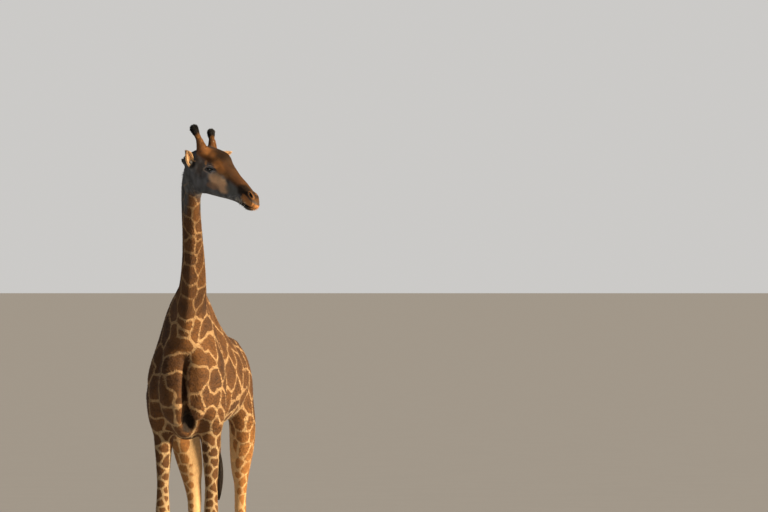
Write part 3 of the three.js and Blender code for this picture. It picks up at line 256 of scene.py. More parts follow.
def relief(P, d):
    """muscle and bone under the skin, in and out by a few millimetres"""
    Q = fold(P)
    g = lambda k, s: np.exp(-np.maximum(near(M[k], Q, 150) + s * .2, 0) / s)
    o = 7 * g('blade_spine', 22) - 9 * g('behind_arm', 40) + 6 * g('elbow', 25) + 5 * g('forearm', 30) - 12 * g('flank', 45)
    o += 9 * g('hip', 30) + 7 * g('stifle', 30) - 8 * g('thigh_groove', 30) + 8 * g('sheath', 25)
    # ribs, faint
    r = (P[:, 1] + .35 * (P[:, 2] - 2100)) / 62
    o += 1.6 * np.sin(2 * np.pi * r) * step(P[:, 1], 300, 420) * (1 - step(P[:, 1], 880, 1000)) * (1 - step(np.abs(P[:, 2] - 2080), 120, 300)) * step(Q[:, 0], 180, 280)
    # folds of skin over the elbow and at the base of the neck
    e = np.exp(-((P[:, 2] - 1800) / 60) ** 2) * step(-P[:, 1], -40, 60) * step(Q[:, 0], 90, 150)
    o += 1.5 * e * np.sin((P[:, 2] + 22 * np.sin(Q[:, 0] / 40)) / 5.2 + 1.2 * np.sin(P[:, 1] / 50))
    return d - o

# head, in its own frame
side = (0, -1., 0)
skull = Bar([(r[0], 0, *r[1:]) for r in SKULL], side, (1, .9)); jaw = Bar([(r[0], 0, *r[1:]) for r in JAW], side, (1, 1))
horn_axis = nrm(HORN_TIP - HORN_BASE)
for k, v in dict(
    bump=([262, 0, 132], [74, 46, 52]), crown=([150, 0, 118], [90, 70, 58]), brow=([242, 84, 52], [52, 30, 22]),
    lids=([EYE[0], EYE[1] + 1, EYE[2]], [47, 31, 31]), cheekbone=([305, 60, -12], [90, 34, 40]),
    lid_slit=([EYE[0] + 1, EYE[1] + 30, EYE[2] - 1], [33, 36, 14.5], [(1, 0, .34), (0, 1, 0), (-.34, 0, 1)]),
    eye_hole=([EYE[0], EYE[1], EYE[2]], [EYE_R + .4] * 3),
    tear=([EYE[0] + 37, EYE[1] + 17, EYE[2] + 9], [24, 12, 4], [(1, -.35, .2), (.35, 1, 0), (-.2, 0, 1)]),
    lid_fold=([EYE[0] - 8, EYE[1] + 22, EYE[2] + 25], [42, 14, 2.8], [(1, 0, .3), (0, 1, 0), (-.3, 0, 1)]),
    under_fold=([EYE[0] + 8, EYE[1] + 20, EYE[2] - 25], [42, 14, 2.4], [(1, -.1, .25), (0, 1, 0), (-.25, 0, 1)]),
    chew=([184, 54, -100], [104, 34, 96], [(1, 0, .25), (0, 1, 0), (-.25, 0, 1)]),
    wing=([658, 34, -54], [40, 22, 24], [(1, 0, -.45), (0, 1, 0), (.45, 0, 1)]),
    nostril=([664, 57, -45], [24, 18, 9], [(1, .3, -.6), (-.3, 1, 0), (.6, 0, 1)]),
    lip=([693, 0, -122], [41, 44, 31]), chin=([655, 0, -158], [38, 30, 20]),
    mouth=([628, 44, -140], [92, 30, 3.6], [(1, 0, -.03), (0, 1, 0), (.03, 0, 1)]), corner=([548, 44, -136], [20, 14, 9]),
    temple=([165, 106, 60], [60, 16, 34]), face_hollow=([420, 70, -40], [90, 16, 28], [(1, 0, -.4), (0, 1, 0), (.4, 0, 1)]),
    crest=([360, 66, -22], [90, 12, 9], [(1, -.16, -.3), (0, 1, 0), (.3, 0, 1)]),
    nose=([560, 0, 15], [150, 20, 16], [(1, 0, -.4), (0, 1, 0), (.4, 0, 1)]),
    jaw_edge=([250, 52, -176], [150, 14, 14], [(1, -.08, .16), (0, 1, 0), (-.16, 0, 1)]),
    throat=([95, 62, -150], [26, 18, 60], [(1, 0, .5), (0, 1, 0), (-.5, 0, 1)]),
).items(): M[k] = Oval(*v)
boss = Cone(HORN_BASE + [0, 0, -25], HORN_BASE + (HORN_TIP - HORN_BASE) * .32, 50, 31)
horn_cone = Cone(HORN_BASE, HORN_TIP - (HORN_TIP - HORN_BASE) * .3, HORN_R - 4, HORN_WAIST - 4)
for s, e in EAR.items():
    e['axis'] = nrm(e['tip'] - e['root']); e['len'] = np.linalg.norm(e['tip'] - e['root'])
    e['face'] = nrm(e['open'] - e['axis'] * np.dot(e['open'], e['axis'])); e['side'] = np.cross(e['face'], e['axis'])
    e['stub'] = Cone(e['root'], e['root'] + e['axis'] * e['len'] * .26, 25, 19)
    e['lo'] = np.minimum(e['root'], e['tip']) - 60; e['hi'] = np.maximum(e['root'], e['tip']) + 60
def ear_uv(P, e):
    D = P - e['root']; return (D @ e['axis']) / e['len'], D @ e['side'], D @ e['face']
def ear_width(t): return EAR_HALF * (.58 + .42 * np.sin(np.pi * np.clip(t * 1.05, 0, 1))) * np.sqrt(np.maximum(1 - np.clip((t - .5) / .5, 0, 1) ** 2.3, 0))
def ear(P, s):
    """a leaf with turned-up edges, rolled at the root"""
    e = EAR[s]; out = np.full(len(P), FAR); k = np.all((P > e['lo']) & (P < e['hi']), 1)
    if not k.any(): return out
    t, a, o = ear_uv(P[k], e); w = np.maximum(ear_width(t), 2.)
    roll_ = 30 * (1 - .55 * np.clip(t, 0, 1)); surf = roll_ * (np.clip(np.abs(a) / w, 0, 1.3) ** 2) - 20 + 8 * np.clip(t, 0, 1)
    slope = 1 + (roll_ * 2 * np.clip(np.abs(a) / w, 0, 1.3) / w) ** 2
    thick = 5.6 - 1.2 * np.clip(t, 0, 1)
    d1 = (np.abs(o - surf) - thick) / np.sqrt(slope)
    d2 = (np.abs(a) - w) * .85; d3 = np.maximum((t - .985) * e['len'], (.12 - t) * e['len'])
    d = -join(-d1, -d2, 5); d = -join(-d, -d3, 6)
    out[k] = d; return out
def head(P, fine):
    Q = fold(P, 1)
    d = join(near(skull, P, 150), near(jaw, P, 120), 55)
    for k, w in (('chew', 40),): d = join(d, near(M[k], Q, 100), w)
    d = join(d, near(M['bump'], P, 100), 45); d = join(d, near(M['crown'], P, 100), 60)
    d = join(d, near(boss, Q, 100), 40); d = join(d, near(M['brow'], Q, 80), 25); d = join(d, near(M['cheekbone'], Q, 80), 35)
    if fine:
        g = lambda k, s: np.exp(-np.maximum(near(M[k], Q, 80) + s * .2, 0) / s)
        d = d + 5 * g('temple', 16) + 4 * g('face_hollow', 18) - 2.5 * g('crest', 10) - 2.5 * g('nose', 12) - 3 * g('jaw_edge', 10) + 5 * g('throat', 14)
        d = join(d, near(horn_cone, Q, 80), 16)
    d = join(d, near(M['wing'], Q, 60), 18)
    d = join(d, near(M['lip'], P, 60), 22)
    if fine: d = join(d, near(M['chin'], P, 60), 20)
    d = join(d, near(M['lids'], Q, 60), 12)
    for s in (1, -1): d = join(d, near(EAR[s]['stub'], P, 60), 16)
    return d
def head_cuts(P, d):
    Q = fold(P, 1)
    d = carve(d, near(M['lid_slit'], Q, 60), 3); d = carve(d, near(M['tear'], Q, 40), 4)
    d = carve(d, near(M['lid_fold'], Q, 40), 5); d = carve(d, near(M['under_fold'], Q, 40), 6)
    d = carve(d, near(M['nostril'], Q, 60), 5)
    d = carve(d, near(M['mouth'], Q, 60), 5); d = carve(d, near(M['corner'], Q, 60), 8)
    # whisker beds and wrinkles of the lips
    m = blob(P, [700, 0, -125], [90, 80, 60], .6)
    d = d + .8 * m * np.sin(P[:, 0] / 3.2 + 2 * np.sin(P[:, 2] / 14)) * step(np.abs(P[:, 1]), 4, 20)
    return carve(d, near(M['eye_hole'], Q, 60), 1.5)

def coat_depth(P, H):
    """how far the skin lies under the tips of the coat"""
    return 3.6 - .8 * (1 - step(P[:, 2], 500, 1200))
def flesh(P):
    d = relief(P, body(P))
    # crest of the neck
    H = to_head(P)
    k = np.all(np.abs(H - [330, 0, 30]) < [560, 350, 420], axis=1)
    d = d + coat_depth(P, H)
    if k.any():
        h = H[k]; dh = head(h, True) + 2.4
        dd = join(d[k], dh, 46 + 94 * np.clip((h[:, 0] + 60) / 150, 0, 1))
        for s in (1, -1): dd = join(dd, ear(h, s), 9)
        d[k] = head_cuts(h, dd)
    # flat cut under the hooves' tops
    return np.maximum(d, 96 - P[:, 2])

# ------------------------------------------------------------------ skinning on a grid that is finer at the head
def axis_steps(lo, hi, zones, coarse):
    out = [lo]
    while out[-1] < hi:
        p = out[-1]; s = coarse
        for a, b, f in zones:
            if a <= p < b: s = f
            elif p < a: s = min(s, max(f, f + (a - p) * .12))
            elif p >= b: s = min(s, max(f, f + (p - b) * .12))
        out.append(p + s)
    return np.array(out)
COARSE, FINE = 10.4, 3.8
hc = to_world([[x, y, z] for x in (-60, 770) for y in (-110, 110) for z in (-230, 200)])
ec = np.vstack([to_world(EAR[s]['tip']) for s in (1, -1)])
hlo, hhi = np.minimum(hc.min(0), ec.min(0)) - 10, np.maximum(hc.max(0), ec.max(0)) + 10
gx = axis_steps(-420, hhi[0] + 30, [(hlo[0] + 60, hhi[0], FINE)], COARSE)
gy = axis_steps(hlo[1] - 30, 1640, [(hlo[1] - 30, hhi[1] - 90, FINE)], COARSE)
gz = axis_steps(80, hhi[2] + 120, [(hlo[2] + 60, hhi[2] + 120, FINE)], COARSE)
log('grid', len(gx), len(gy), len(gz))
def sample_sparse(f, ax, B=4):
    n = [len(a) for a in ax]; F = np.empty(n, np.float32)
    nb = [(k + B - 1) // B for k in n]
    cen = [np.array([(a[i * B] + a[min(i * B + B, len(a)) - 1]) / 2 for i in range(m)]) for a, m in zip(ax, nb)]
    wid = [np.array([a[min(i * B + B, len(a)) - 1] - a[i * B] for i in range(m)]) for a, m in zip(ax, nb)]
    # a coarse look first, on blocks of blocks
    C = np.stack(np.meshgrid(*cen, indexing='ij'), -1).reshape(-1, 3)
    W = np.stack(np.meshgrid(*wid, indexing='ij'), -1).reshape(-1, 3); R = np.linalg.norm(W, axis=1) / 2
    G = 4; idx = np.stack(np.meshgrid(*[np.arange(0, m, G) for m in nb], indexing='ij'), -1).reshape(-1, 3)
    mid = np.minimum(idx + G // 2, np.array(nb) - 1)
    flat = (mid[:, 0] * nb[1] + mid[:, 1]) * nb[2] + mid[:, 2]
    Dc = run(f, C[flat])
    D = np.full(len(C), np.nan)
    Db = D.reshape(nb); todo = np.zeros(nb, bool)
    for (i, j, k), d, fl in zip(idx, Dc, flat):
        sl = (slice(i, i + G), slice(j, j + G), slice(k, k + G))
        r = G * R[fl] * 2.
        if abs(d) < r * 1.5 + 12: todo[sl] = True
        else: Db[sl] = d
    t = todo.reshape(-1)
    D[t] = run(f, C[t]); Db = D.reshape(nb)
    nearb = (np.abs(D) < R * 1.7 + 6) & t
    F[...] = np.repeat(np.repeat(np.repeat(Db, B, 0), B, 1), B, 2)[:n[0], :n[1], :n[2]]
    bi = np.stack(np.unravel_index(np.flatnonzero(nearb), nb), 1)
    o = np.stack(np.meshgrid(*[np.arange(B)] * 3, indexing='ij'), -1).reshape(-1, 3)
    I = (bi[:, None] * B + o[None]).reshape(-1, 3)
    I = I[(I < np.array(n)).all(1)]
    P = np.stack([ax[0][I[:, 0]], ax[1][I[:, 1]], ax[2][I[:, 2]]], 1)
    F[I[:, 0], I[:, 1], I[:, 2]] = run(f, P)
    log('samples', len(C[flat]), t.sum(), len(P))
    return F
def run(f, P, chunk=200000):
    out = np.empty(len(P), np.float32)
    for i in range(0, len(P), chunk): out[i:i + chunk] = f(P[i:i + chunk])
    return out
def surface_nets(F):
    nx, ny, nz = F.shape; S = F < 0
    for _ in range(8):   # no grid square with its inside corners on a diagonal
        hit = 0
        for a, b in ((0, 1), (1, 2), (0, 2)):
            def sh(u, v):
                sl = [slice(0, -1) if k in (a, b) else slice(None) for k in range(3)]
                if u: sl[a] = slice(1, None)
                if v: sl[b] = slice(1, None)
                return tuple(sl)
            s00, s10, s11, s01 = S[sh(0, 0)], S[sh(1, 0)], S[sh(1, 1)], S[sh(0, 1)]
            bad = np.argwhere((s00 == s11) & (s10 == s01) & (s00 != s10))
            if not len(bad): continue
            ea, eb = np.zeros(3, int), np.zeros(3, int); ea[a] = 1; eb[b] = 1
            K = np.stack([bad, bad + ea, bad + ea + eb, bad + eb], 1)
            vals = np.abs(F[K[..., 0], K[..., 1], K[..., 2]]); w = K[np.arange(len(K)), vals.argmin(1)]
            w = np.unique(w, axis=0); t = tuple(w.T)
            F[t] = np.where(F[t] < 0, .05, -.05); S[t] = F[t] < 0; hit += len(w)
        if not hit: break
    cnt = np.zeros((nx - 1, ny - 1, nz - 1), np.int8)
    for dx in (0, 1):
        for dy in (0, 1):
            for dz in (0, 1): cnt += S[dx:nx - 1 + dx, dy:ny - 1 + dy, dz:nz - 1 + dz]
    act = np.argwhere((cnt > 0) & (cnt < 8)); idx = np.full(cnt.shape, -1, np.int32); idx[tuple(act.T)] = np.arange(len(act))
    cor = np.array([[x, y, z] for x in (0, 1) for y in (0, 1) for z in (0, 1)])
    vals = np.stack([F[act[:, 0] + a, act[:, 1] + b, act[:, 2] + c] for a, b, c in cor], 1)
    acc, n = np.zeros((len(act), 3)), np.zeros(len(act))
    for i in range(8):
        for j in range(i + 1, 8):
            if np.abs(cor[i] - cor[j]).sum() != 1: continue
            a, b = vals[:, i], vals[:, j]; m = (a < 0) != (b < 0); t = np.where(m, a / np.where(m, a - b, 1), 0)
            acc += np.where(m[:, None], cor[i] + t[:, None] * (cor[j] - cor[i]), 0); n += m
    V = act + acc / n[:, None]; quads = []
    for ax in range(3):
        o1, o2 = (ax + 1) % 3, (ax + 2) % 3
        s0, s1 = [slice(None)] * 3, [slice(None)] * 3; s0[ax] = slice(0, -1); s1[ax] = slice(1, None)
        E = np.argwhere(S[tuple(s0)] != S[tuple(s1)])
        E = E[(E[:, o1] > 0) & (E[:, o2] > 0) & (E[:, o1] < F.shape[o1] - 1) & (E[:, o2] < F.shape[o2] - 1)]
        e1, e2 = np.zeros(3, int), np.zeros(3, int); e1[o1] = 1; e2[o2] = 1
        q = np.stack([idx[tuple((E - e1 - e2).T)], idx[tuple((E - e2).T)], idx[tuple(E.T)], idx[tuple((E - e1).T)]], 1)
        fl = ~S[tuple(E.T)]; q[fl] = q[fl][:, ::-1]; quads.append(q)
    Q = np.vstack(quads); return V, Q[(Q >= 0).all(1)]
F = sample_sparse(flesh, (gx, gy, gz))
log('field done')
V, Q = surface_nets(F)
V = np.stack([np.interp(V[:, i], np.arange(len(a)), a) for i, a in enumerate((gx, gy, gz))], 1)
del F
# keep the largest piece
def largest(V, Q):
    lab = np.arange(len(V))
    while True:
        m = lab[Q].min(1); new = lab.copy()
        np.minimum.at(new, Q.reshape(-1), np.repeat(m, 4)); new = new[new]
        if (new == lab).all(): break
        lab = new
    u, c = np.unique(lab[Q[:, 0]], return_counts=True); keep = lab[Q[:, 0]] == u[c.argmax()]
    used = np.unique(Q[keep]); mp = np.full(len(V), -1); mp[used] = np.arange(len(used)); return V[used], mp[Q[keep]]
V, Q = largest(V, Q)
log('skin', len(V), 'vertices', len(Q), 'quads')
def normals(V, Q):
    n = np.cross(V[Q[:, 2]] - V[Q[:, 0]], V[Q[:, 3]] - V[Q[:, 1]]); out = np.zeros_like(V)
    for k in range(4): np.add.at(out, Q[:, k], n)
    return out / np.maximum(np.linalg.norm(out, axis=1, keepdims=True), 1e-9)
def relax(V, Q, rounds, amount=.5):
    E = np.vstack([Q[:, [0, 1]], Q[:, [1, 2]], Q[:, [2, 3]], Q[:, [3, 0]]]); deg = np.bincount(E.reshape(-1), minlength=len(V))[:, None]
    for r in range(rounds):
        s = np.zeros_like(V)
        for k in range(3):
            s[:, k] = np.bincount(E[:, 0], V[E[:, 1], k], len(V)) + np.bincount(E[:, 1], V[E[:, 0], k], len(V))
        V = V + amount * (1 if r % 2 == 0 else -1.04) * (s / deg - V)
    return V
V = relax(V, Q, 4)
N = normals(V, Q)

# ------------------------------------------------------------------ where a point belongs
def part_of(P):
    """0 trunk, 1 neck, 2 head, 3 left ear, 4 right ear, 5-8 legs (fore left, fore right, hind left, hind right), 9 tail"""
    out = np.zeros(len(P), np.int8); H = to_head(P)
    out[(P - [84, -232, 2786]) @ [.2, -.53, .82] > 0] = 1
    out[((H - [-75, 0, 55]) @ [.774, 0, .633] > 0) & (P[:, 2] > 3400)] = 2
    for k, s in ((3, 1), (4, -1)):
        e = EAR[s]; t, a, o = ear_uv(H, e)
        out[(t > .2) & (t < 1.15) & (np.abs(a) < 52) & (np.abs(o) < 46) & (out == 2)] = k
    lo = (P[:, 2] < 1702) & (P[:, 1] < 400); hi = (P[:, 2] < 1745) & (P[:, 1] > 900) & (P[:, 1] < 1640)
    out[lo & (P[:, 0] > 0)] = 5; out[lo & (P[:, 0] <= 0)] = 6; out[hi & (P[:, 0] > 0)] = 7; out[hi & (P[:, 0] <= 0)] = 8
    out[((P - [0, 1528, 2350]) @ [0, .74, -.68] > 0) & (np.abs(P[:, 0]) < 75) & (P[:, 1] > 1480)] = 9
    return out
HEAD_AXIS = np.array([[-80, 0, 30], [60, 0, 30], [235, 0, 0], [400, 0, -30], [560, 0, -78], [700, 0, -118], [760, 0, -135]], float)
def wrap_axis(P, c, T, S, V):
    """angle around and place along a centre line"""
    A, B = c[:-1], c[1:]; best = np.full(len(P), 1e30); bi = np.zeros(len(P), int); bt = np.zeros(len(P))
    L = np.concatenate([[0], np.cumsum(np.linalg.norm(B - A, axis=1))])
    for i in range(len(A)):
        ab = B[i] - A[i]; t = (P - A[i]) @ ab / (ab @ ab); tc = np.clip(t, 0, 1)
        d = np.linalg.norm(P - A[i] - tc[:, None] * ab, axis=1); m = d < best
        best[m] = d[m]; bi[m] = i
        bt[m] = (t if i in (0, len(A) - 1) else tc)[m]
    m = (bi > 0) & (bi < len(A) - 1); bt[m] = np.clip(bt[m], 0, 1)
    m = (bi == 0); bt[m] = np.minimum(bt[m], 1); m = bi == len(A) - 1; bt[m] = np.maximum(bt[m], 0)
    t = np.clip(bt, 0, 1)[:, None]
    D = P - c[bi] * (1 - t) - c[bi + 1] * t
    s, v = S[bi] * (1 - t) + S[bi + 1] * t, V[bi] * (1 - t) + V[bi + 1] * t
    ang = np.arctan2(np.einsum('ij,ij->i', D, s), np.einsum('ij,ij->i', D, v)) / (2 * np.pi)
    return ang, L[bi] + bt * (L[bi + 1] - L[bi]), best
def unwrap(P, part, ref_ang):
    """two lengths: round the part (in turns) and along it (mm), the turn kept next to ref_ang"""
    out = np.zeros((len(P), 2))
    for k in range(10):
        m = part == k
        if not m.any(): continue
        p = P[m]
        if k == 0:
            c = np.array([[0, -420, 2060.], [0, 600, 2110], [0, 1560, 2200]]); one = np.ones((3, 1))
            a, l, _ = wrap_axis(p, c, None, one * [1., 0, 0], one * [0, 0, -1.])
        elif k == 1: a, l, _ = wrap_axis(p, neck.c, None, neck.S, neck.V)
        elif k == 2:
            c = HEAD_AXIS; one = np.ones((len(c), 1)); a, l, _ = wrap_axis(to_head(p), c, None, one * [0, 1., 0], one * [0, 0, -1.])
        elif k in (3, 4):
            t, x, o = ear_uv(to_head(p), EAR[1 if k == 3 else -1]); w = np.maximum(ear_width(t), 6)
            surf = 30 * (1 - .55 * np.clip(t, 0, 1)) * (np.clip(np.abs(x) / w, 0, 1.3) ** 2) - 20 + 8 * np.clip(t, 0, 1)
            front = o > surf
            a, l = np.where(front, .25 + x / 190, -.25 + x / 190), t * EAR[1 if k == 3 else -1]['len']
            out[m] = np.stack([a, l], 1); continue
        elif k == 9: a, l, _ = wrap_axis(p, tail_bar.c, None, tail_bar.S, tail_bar.V)
        else:
            b = legs[('f' if k in (5, 6) else 'h', 1 if k in (5, 7) else -1)]
            a, l, _ = wrap_axis(p, b.c, None, b.S, b.V)
        r = ref_ang[m] if ref_ang is not None else a
        a = a - np.round(a - r); out[m] = np.stack([a, l], 1)
    return out
# every part's rectangle on the sheet: u0, v0, wide, high; length runs along u where turned
CHART = {0: (.004, .004, .585, .372), 1: (.004, .39, .44, .2), 2: (.004, .605, .585, .385), 3: (.46, .39, .129, .095), 4: (.46, .495, .129, .095),
         5: (.605, .004, .39, .18), 6: (.605, .19, .39, .18), 7: (.605, .376, .39, .22), 8: (.605, .6, .39, .22), 9: (.605, .83, .39, .06)}
SPAN = {0: (0, 2010), 1: (300, 2050), 2: (-30, 940), 3: (20, 240), 4: (20, 240), 5: (30, 1780), 6: (30, 1780), 7: (30, 1800), 8: (30, 1800), 9: (120, 1230)}
def sheet(part, al):
    out = np.zeros_like(al)
    for k, (u0, v0, w, h) in CHART.items():
        m = part == k
        if not m.any(): continue
        lo, hi = SPAN[k]; x = np.clip((al[m, 1] - lo) / (hi - lo), 0, 1); y = np.clip((al[m, 0] + .55) / 1.1, 0, 1)
        if k in (3, 4): y = np.clip((al[m, 0] + .5), 0, 1)
        out[m] = np.stack([u0 + w * (.01 + .98 * x), v0 + h * (.01 + .98 * y)], 1)
    return out
C = V[Q].mean(1); PART_F = part_of(C)
fa = unwrap(C, PART_F, None)[:, 0]
PART_L = np.repeat(PART_F, 4); AL = unwrap(V[Q].reshape(-1, 3), PART_L, np.repeat(fa, 4))
UV_L = sheet(PART_L, AL)
for k in range(10):
    m = PART_L == k
    if m.any(): log('part', k, int(m.sum() / 4), 'along', AL[m, 1].min().round(), AL[m, 1].max().round(), 'turn', AL[m, 0].min().round(2), AL[m, 0].max().round(2))
PART_V = np.zeros(len(V), np.int8); PART_V[Q.reshape(-1)] = PART_L

# ------------------------------------------------------------------ the view of the picture, used to place what is seen there
PSI = math.radians(9.5); CAM_R = np.array([math.cos(PSI), math.sin(PSI), 0]); CAM_F0 = np.array([-math.sin(PSI), math.cos(PSI), 0])
CAM_UP = math.radians(.2417); CAM_P = 1650 * CAM_R - 71110 * CAM_F0 + [0, 0, 2867]
CAM_F = CAM_F0 * math.cos(CAM_UP) + np.array([0, 0, math.sin(CAM_UP)]); CAM_U = np.cross(CAM_R, CAM_F)
FOCAL = 400 / 36 * 768
def project(P):
    D = P - CAM_P; z = D @ CAM_F; return 384 + FOCAL * (D @ CAM_R) / z, 256 - FOCAL * (D @ CAM_U) / z, z
VX, VY, VZ = project(V); FACING = N @ CAM_F < .12
def pick(x, y, inside=None):
    """the skin's point seen at x, y in the view"""
    d2 = (VX - x) ** 2 + (VY - y) ** 2
    ok = FACING if inside is None else FACING & inside
    m = ok & (d2 < 1.2 ** 2)
    if not m.any(): m = ok & (d2 < max(3.5 ** 2, d2[ok].min() * 1.3))
    i = np.flatnonzero(m); z = VZ[i]; i = i[z < z.min() + 60]; return V[i[d2[i].argmin()]]

# ------------------------------------------------------------------ markings
rng = np.random.default_rng(41)
# patches placed where they are seen: each a cell of one or more points, measured across and down from a corner near the
# chest
def at(*pts): return [(130 + a / 8.711, 240 + b / 8.711) for a, b in pts]
SEEN = [at((600, 40)), at((618, 120), (605, 210)), at((640, 290), (628, 360)), at((620, 455), (600, 520)), at((612, 620), (640, 590)), at((572, 745), (560, 800)),
  at((640, 800), (690, 760)), at((650, 900), (700, 870), (715, 930)), at((620, 1035), (690, 1050)), at((575, 1170), (570, 1260), (640, 1170)), at((735, 1210), (720, 1280)),
  at((570, 1400), (600, 1450)), at((710, 1385), (670, 1380), (745, 1380)), at((835, 1250), (840, 1310)), at((785, 1000), (800, 1100)), at((700, 620), (745, 700)),
  at((800, 860), (815, 940)), at((875, 900), (885, 1000)), at((880, 1110), (905, 1180)), at((945, 1050), (955, 1150)), at((935, 1280), (925, 1350)),
  at((1020, 1170), (1010, 1240)), at((980, 1010), (990, 1060)), at((1000, 1340)), at((905, 1430)), at((820, 1440)), at((1020, 1430)), at((690, 1510)), at((800, 1520)),
  at((505, 60), (520, 20)), at((505, 150), (520, 190)), at((505, 270), (520, 330)), at((430, 400), (440, 340)), at((490, 430), (530, 450)),
  at((470, 580), (480, 640), (500, 560)), at((385, 580), (380, 650)), at((470, 740), (500, 760)), at((480, 815)), at((330, 760), (320, 820)),
  at((380, 800), (350, 930), (450, 900)), at((360, 1085), (440, 1075)), at((370, 1240), (440, 1300), (430, 1220), (450, 1390)), at((240, 1040), (250, 1120)),
  at((215, 1230), (210, 1310)), at((320, 1340), (310, 1400), (290, 1290)), at((190, 1120)), at((240, 1480)), at((340, 1510)), at((450, 1500)),
  at((575, 1520))]
# the neck above them
def at2(*pts): return [(170 + a / 14.93, 110 + b / 14.93) for a, b in pts]
SEEN += [[(197.5, 216), (197, 212)], [(198.5, 224), (200.5, 228)], [(199.5, 236)], [(188, 222), (189, 228)], [(186.5, 236)], [(188.5, 212)]]
# legs, small patches below the elbow
SEEN += [[(160, 424), (158, 428)], [(165, 436)], [(158, 440)], [(163, 449)], [(169, 427)], [(158.5, 456)], [(166, 462)], [(160, 470)], [(165, 477)], [(160, 485)], [(166, 491)],
  [(206, 424), (203, 429)], [(215, 425), (217, 431)], [(208, 438), (212, 441)], [(218, 443)], [(205, 448)], [(213, 452)], [(206, 459)], [(214, 463)], [(208, 470)], [(216, 474)],
  [(207, 481)], [(213, 487)], [(209, 495)], [(228, 420)], [(240, 418), (243, 424)], [(232, 432)], [(243, 437)], [(247, 424)], [(235, 445)], [(243, 450)], [(232, 455)], [(239, 463)],
  [(245, 468)], [(236, 476)], [(243, 483)], [(238, 492)]]
def cell_gap(P, part):
    """how far apart the middles of the patches are"""
    z = P[:, 2]; g = np.full(len(P), 205.)
    t = step(z, 2700, 3500); g = np.where(part == 1, 165 * (1 - t) + 118 * t, g)
    g = np.where(part == 0, 205 - 60 * (1 - step(z, 1700, 1950)), g)
    tl = step(z, 950, 1800); g = np.where(part >= 5, 58 * (1 - tl) + 128 * tl, g)
    return g
seeds, owner = [], []
for i, cell in enumerate(SEEN):
    for x, y in cell:
        p = pick(x, y)
        if p is not None: seeds.append(p); owner.append(i)
nseen = len(SEEN)
log('seen seeds', len(seeds))
cand = rng.permutation(np.flatnonzero((PART_V <= 1) | ((PART_V >= 5) & (PART_V <= 8)) | (PART_V == 9)))[:60000]
gap = cell_gap(V, PART_V)
S_, G_ = [np.array(s) for s in seeds], [gap[((V - s) ** 2).sum(1).argmin()] * .72 for s in seeds]
arrS = np.zeros((4000, 3)); arrG = np.zeros(4000); ns = len(S_); arrS[:ns] = S_; arrG[:ns] = G_
nid = nseen
STRETCH = np.array([1., 1.12, .9])
for i in cand:
    p, g = V[i], gap[i]
    if p[1] < -190 and abs(p[0]) < 170 and 1750 < p[2] < 2450: g = 330.
    d = np.sqrt((((arrS[:ns] - p) * STRETCH) ** 2).sum(1))
    if (d < np.maximum(g, arrG[:ns]) * .86).any(): continue
    arrS[ns], arrG[ns] = p, g; ns += 1; owner.append(nid); nid += 1
    if ns >= 3999: break
arrS = arrS[:ns]; owner = np.array(owner); log('cells', nid, 'points', ns)
def cells(P):
    """nearest patch, and how far its edge is, mm"""
    W = P + np.stack([wave(P, 75, 1), wave(P, 75, 2), wave(P, 75, 3)], 1) * 13 + np.stack([wave(P, 26, 4), wave(P, 26, 5), wave(P, 26, 6)], 1) * 3
    A, B = W * STRETCH, arrS * STRETCH; who = np.zeros(len(P), int); edge = np.zeros(len(P))
    for i in range(0, len(P), 4000):
        a = A[i:i + 4000]; D = np.sqrt(np.maximum((a * a).sum(1)[:, None] + (B * B).sum(1)[None] - 2 * a @ B.T, 0))
        j = D.argmin(1); f1 = D[np.arange(len(a)), j]; D2 = np.where(owner[None] == owner[j][:, None], 1e9, D); f2 = D2.min(1)
        who[i:i + 4000] = owner[j]; edge[i:i + 4000] = (f2 - f1) / 2
    return who, edge
who, edge = cells(V)
log('markings')
cell_tone = rng.normal(0, 1, nid + 1)

def lin(r, g, b):
    """colour as seen on screen, 0-255, to light"""
    return np.array([((c / 255 + .055) / 1.055) ** 2.4 if c > 10 else c / 255 / 12.92 for c in (r, g, b)])
PATCH, PATCH_DARK, PATCH_LEG = lin(126, 84, 42), lin(82, 53, 29), lin(134, 92, 50)
CREAM, CREAM_LOW, BELLY = lin(192, 156, 112), lin(206, 176, 132), lin(216, 192, 154)
SLATE, SLATE_PALE = lin(78, 80, 84), lin(140, 144, 150)
def mixc(a, b, t): t = np.clip(t, 0, 1)[:, None]; return a * (1 - t) + b * t
P = V; H = to_head(P); n1, n2, n3 = wave(P, 120, 11), wave(P, 36, 12), wave(P, 14, 13)
ct = cell_tone[who]
patch = mixc(np.repeat(PATCH[None], len(P), 0), PATCH_DARK, .28 + .16 * ct + .22 * n1 + .16 * n2 + .34 * step(edge, 25, 70) * (1 - step(P[:, 2], 3300, 3500)))
line = mixc(np.repeat(CREAM[None], len(P), 0), CREAM_LOW, 1 - step(P[:, 2], 1500, 2000))
half = 6.9 + 1.4 * (PART_V == 0) - .8 * (PART_V == 1) + .6 * n1          # half the width of the pale lines
legm = (PART_V >= 5) & (PART_V <= 8)
low = step(-P[:, 2], -1650, -900) * legm
patch = mixc(patch, PATCH_LEG, low * .75); half = half - low * .6
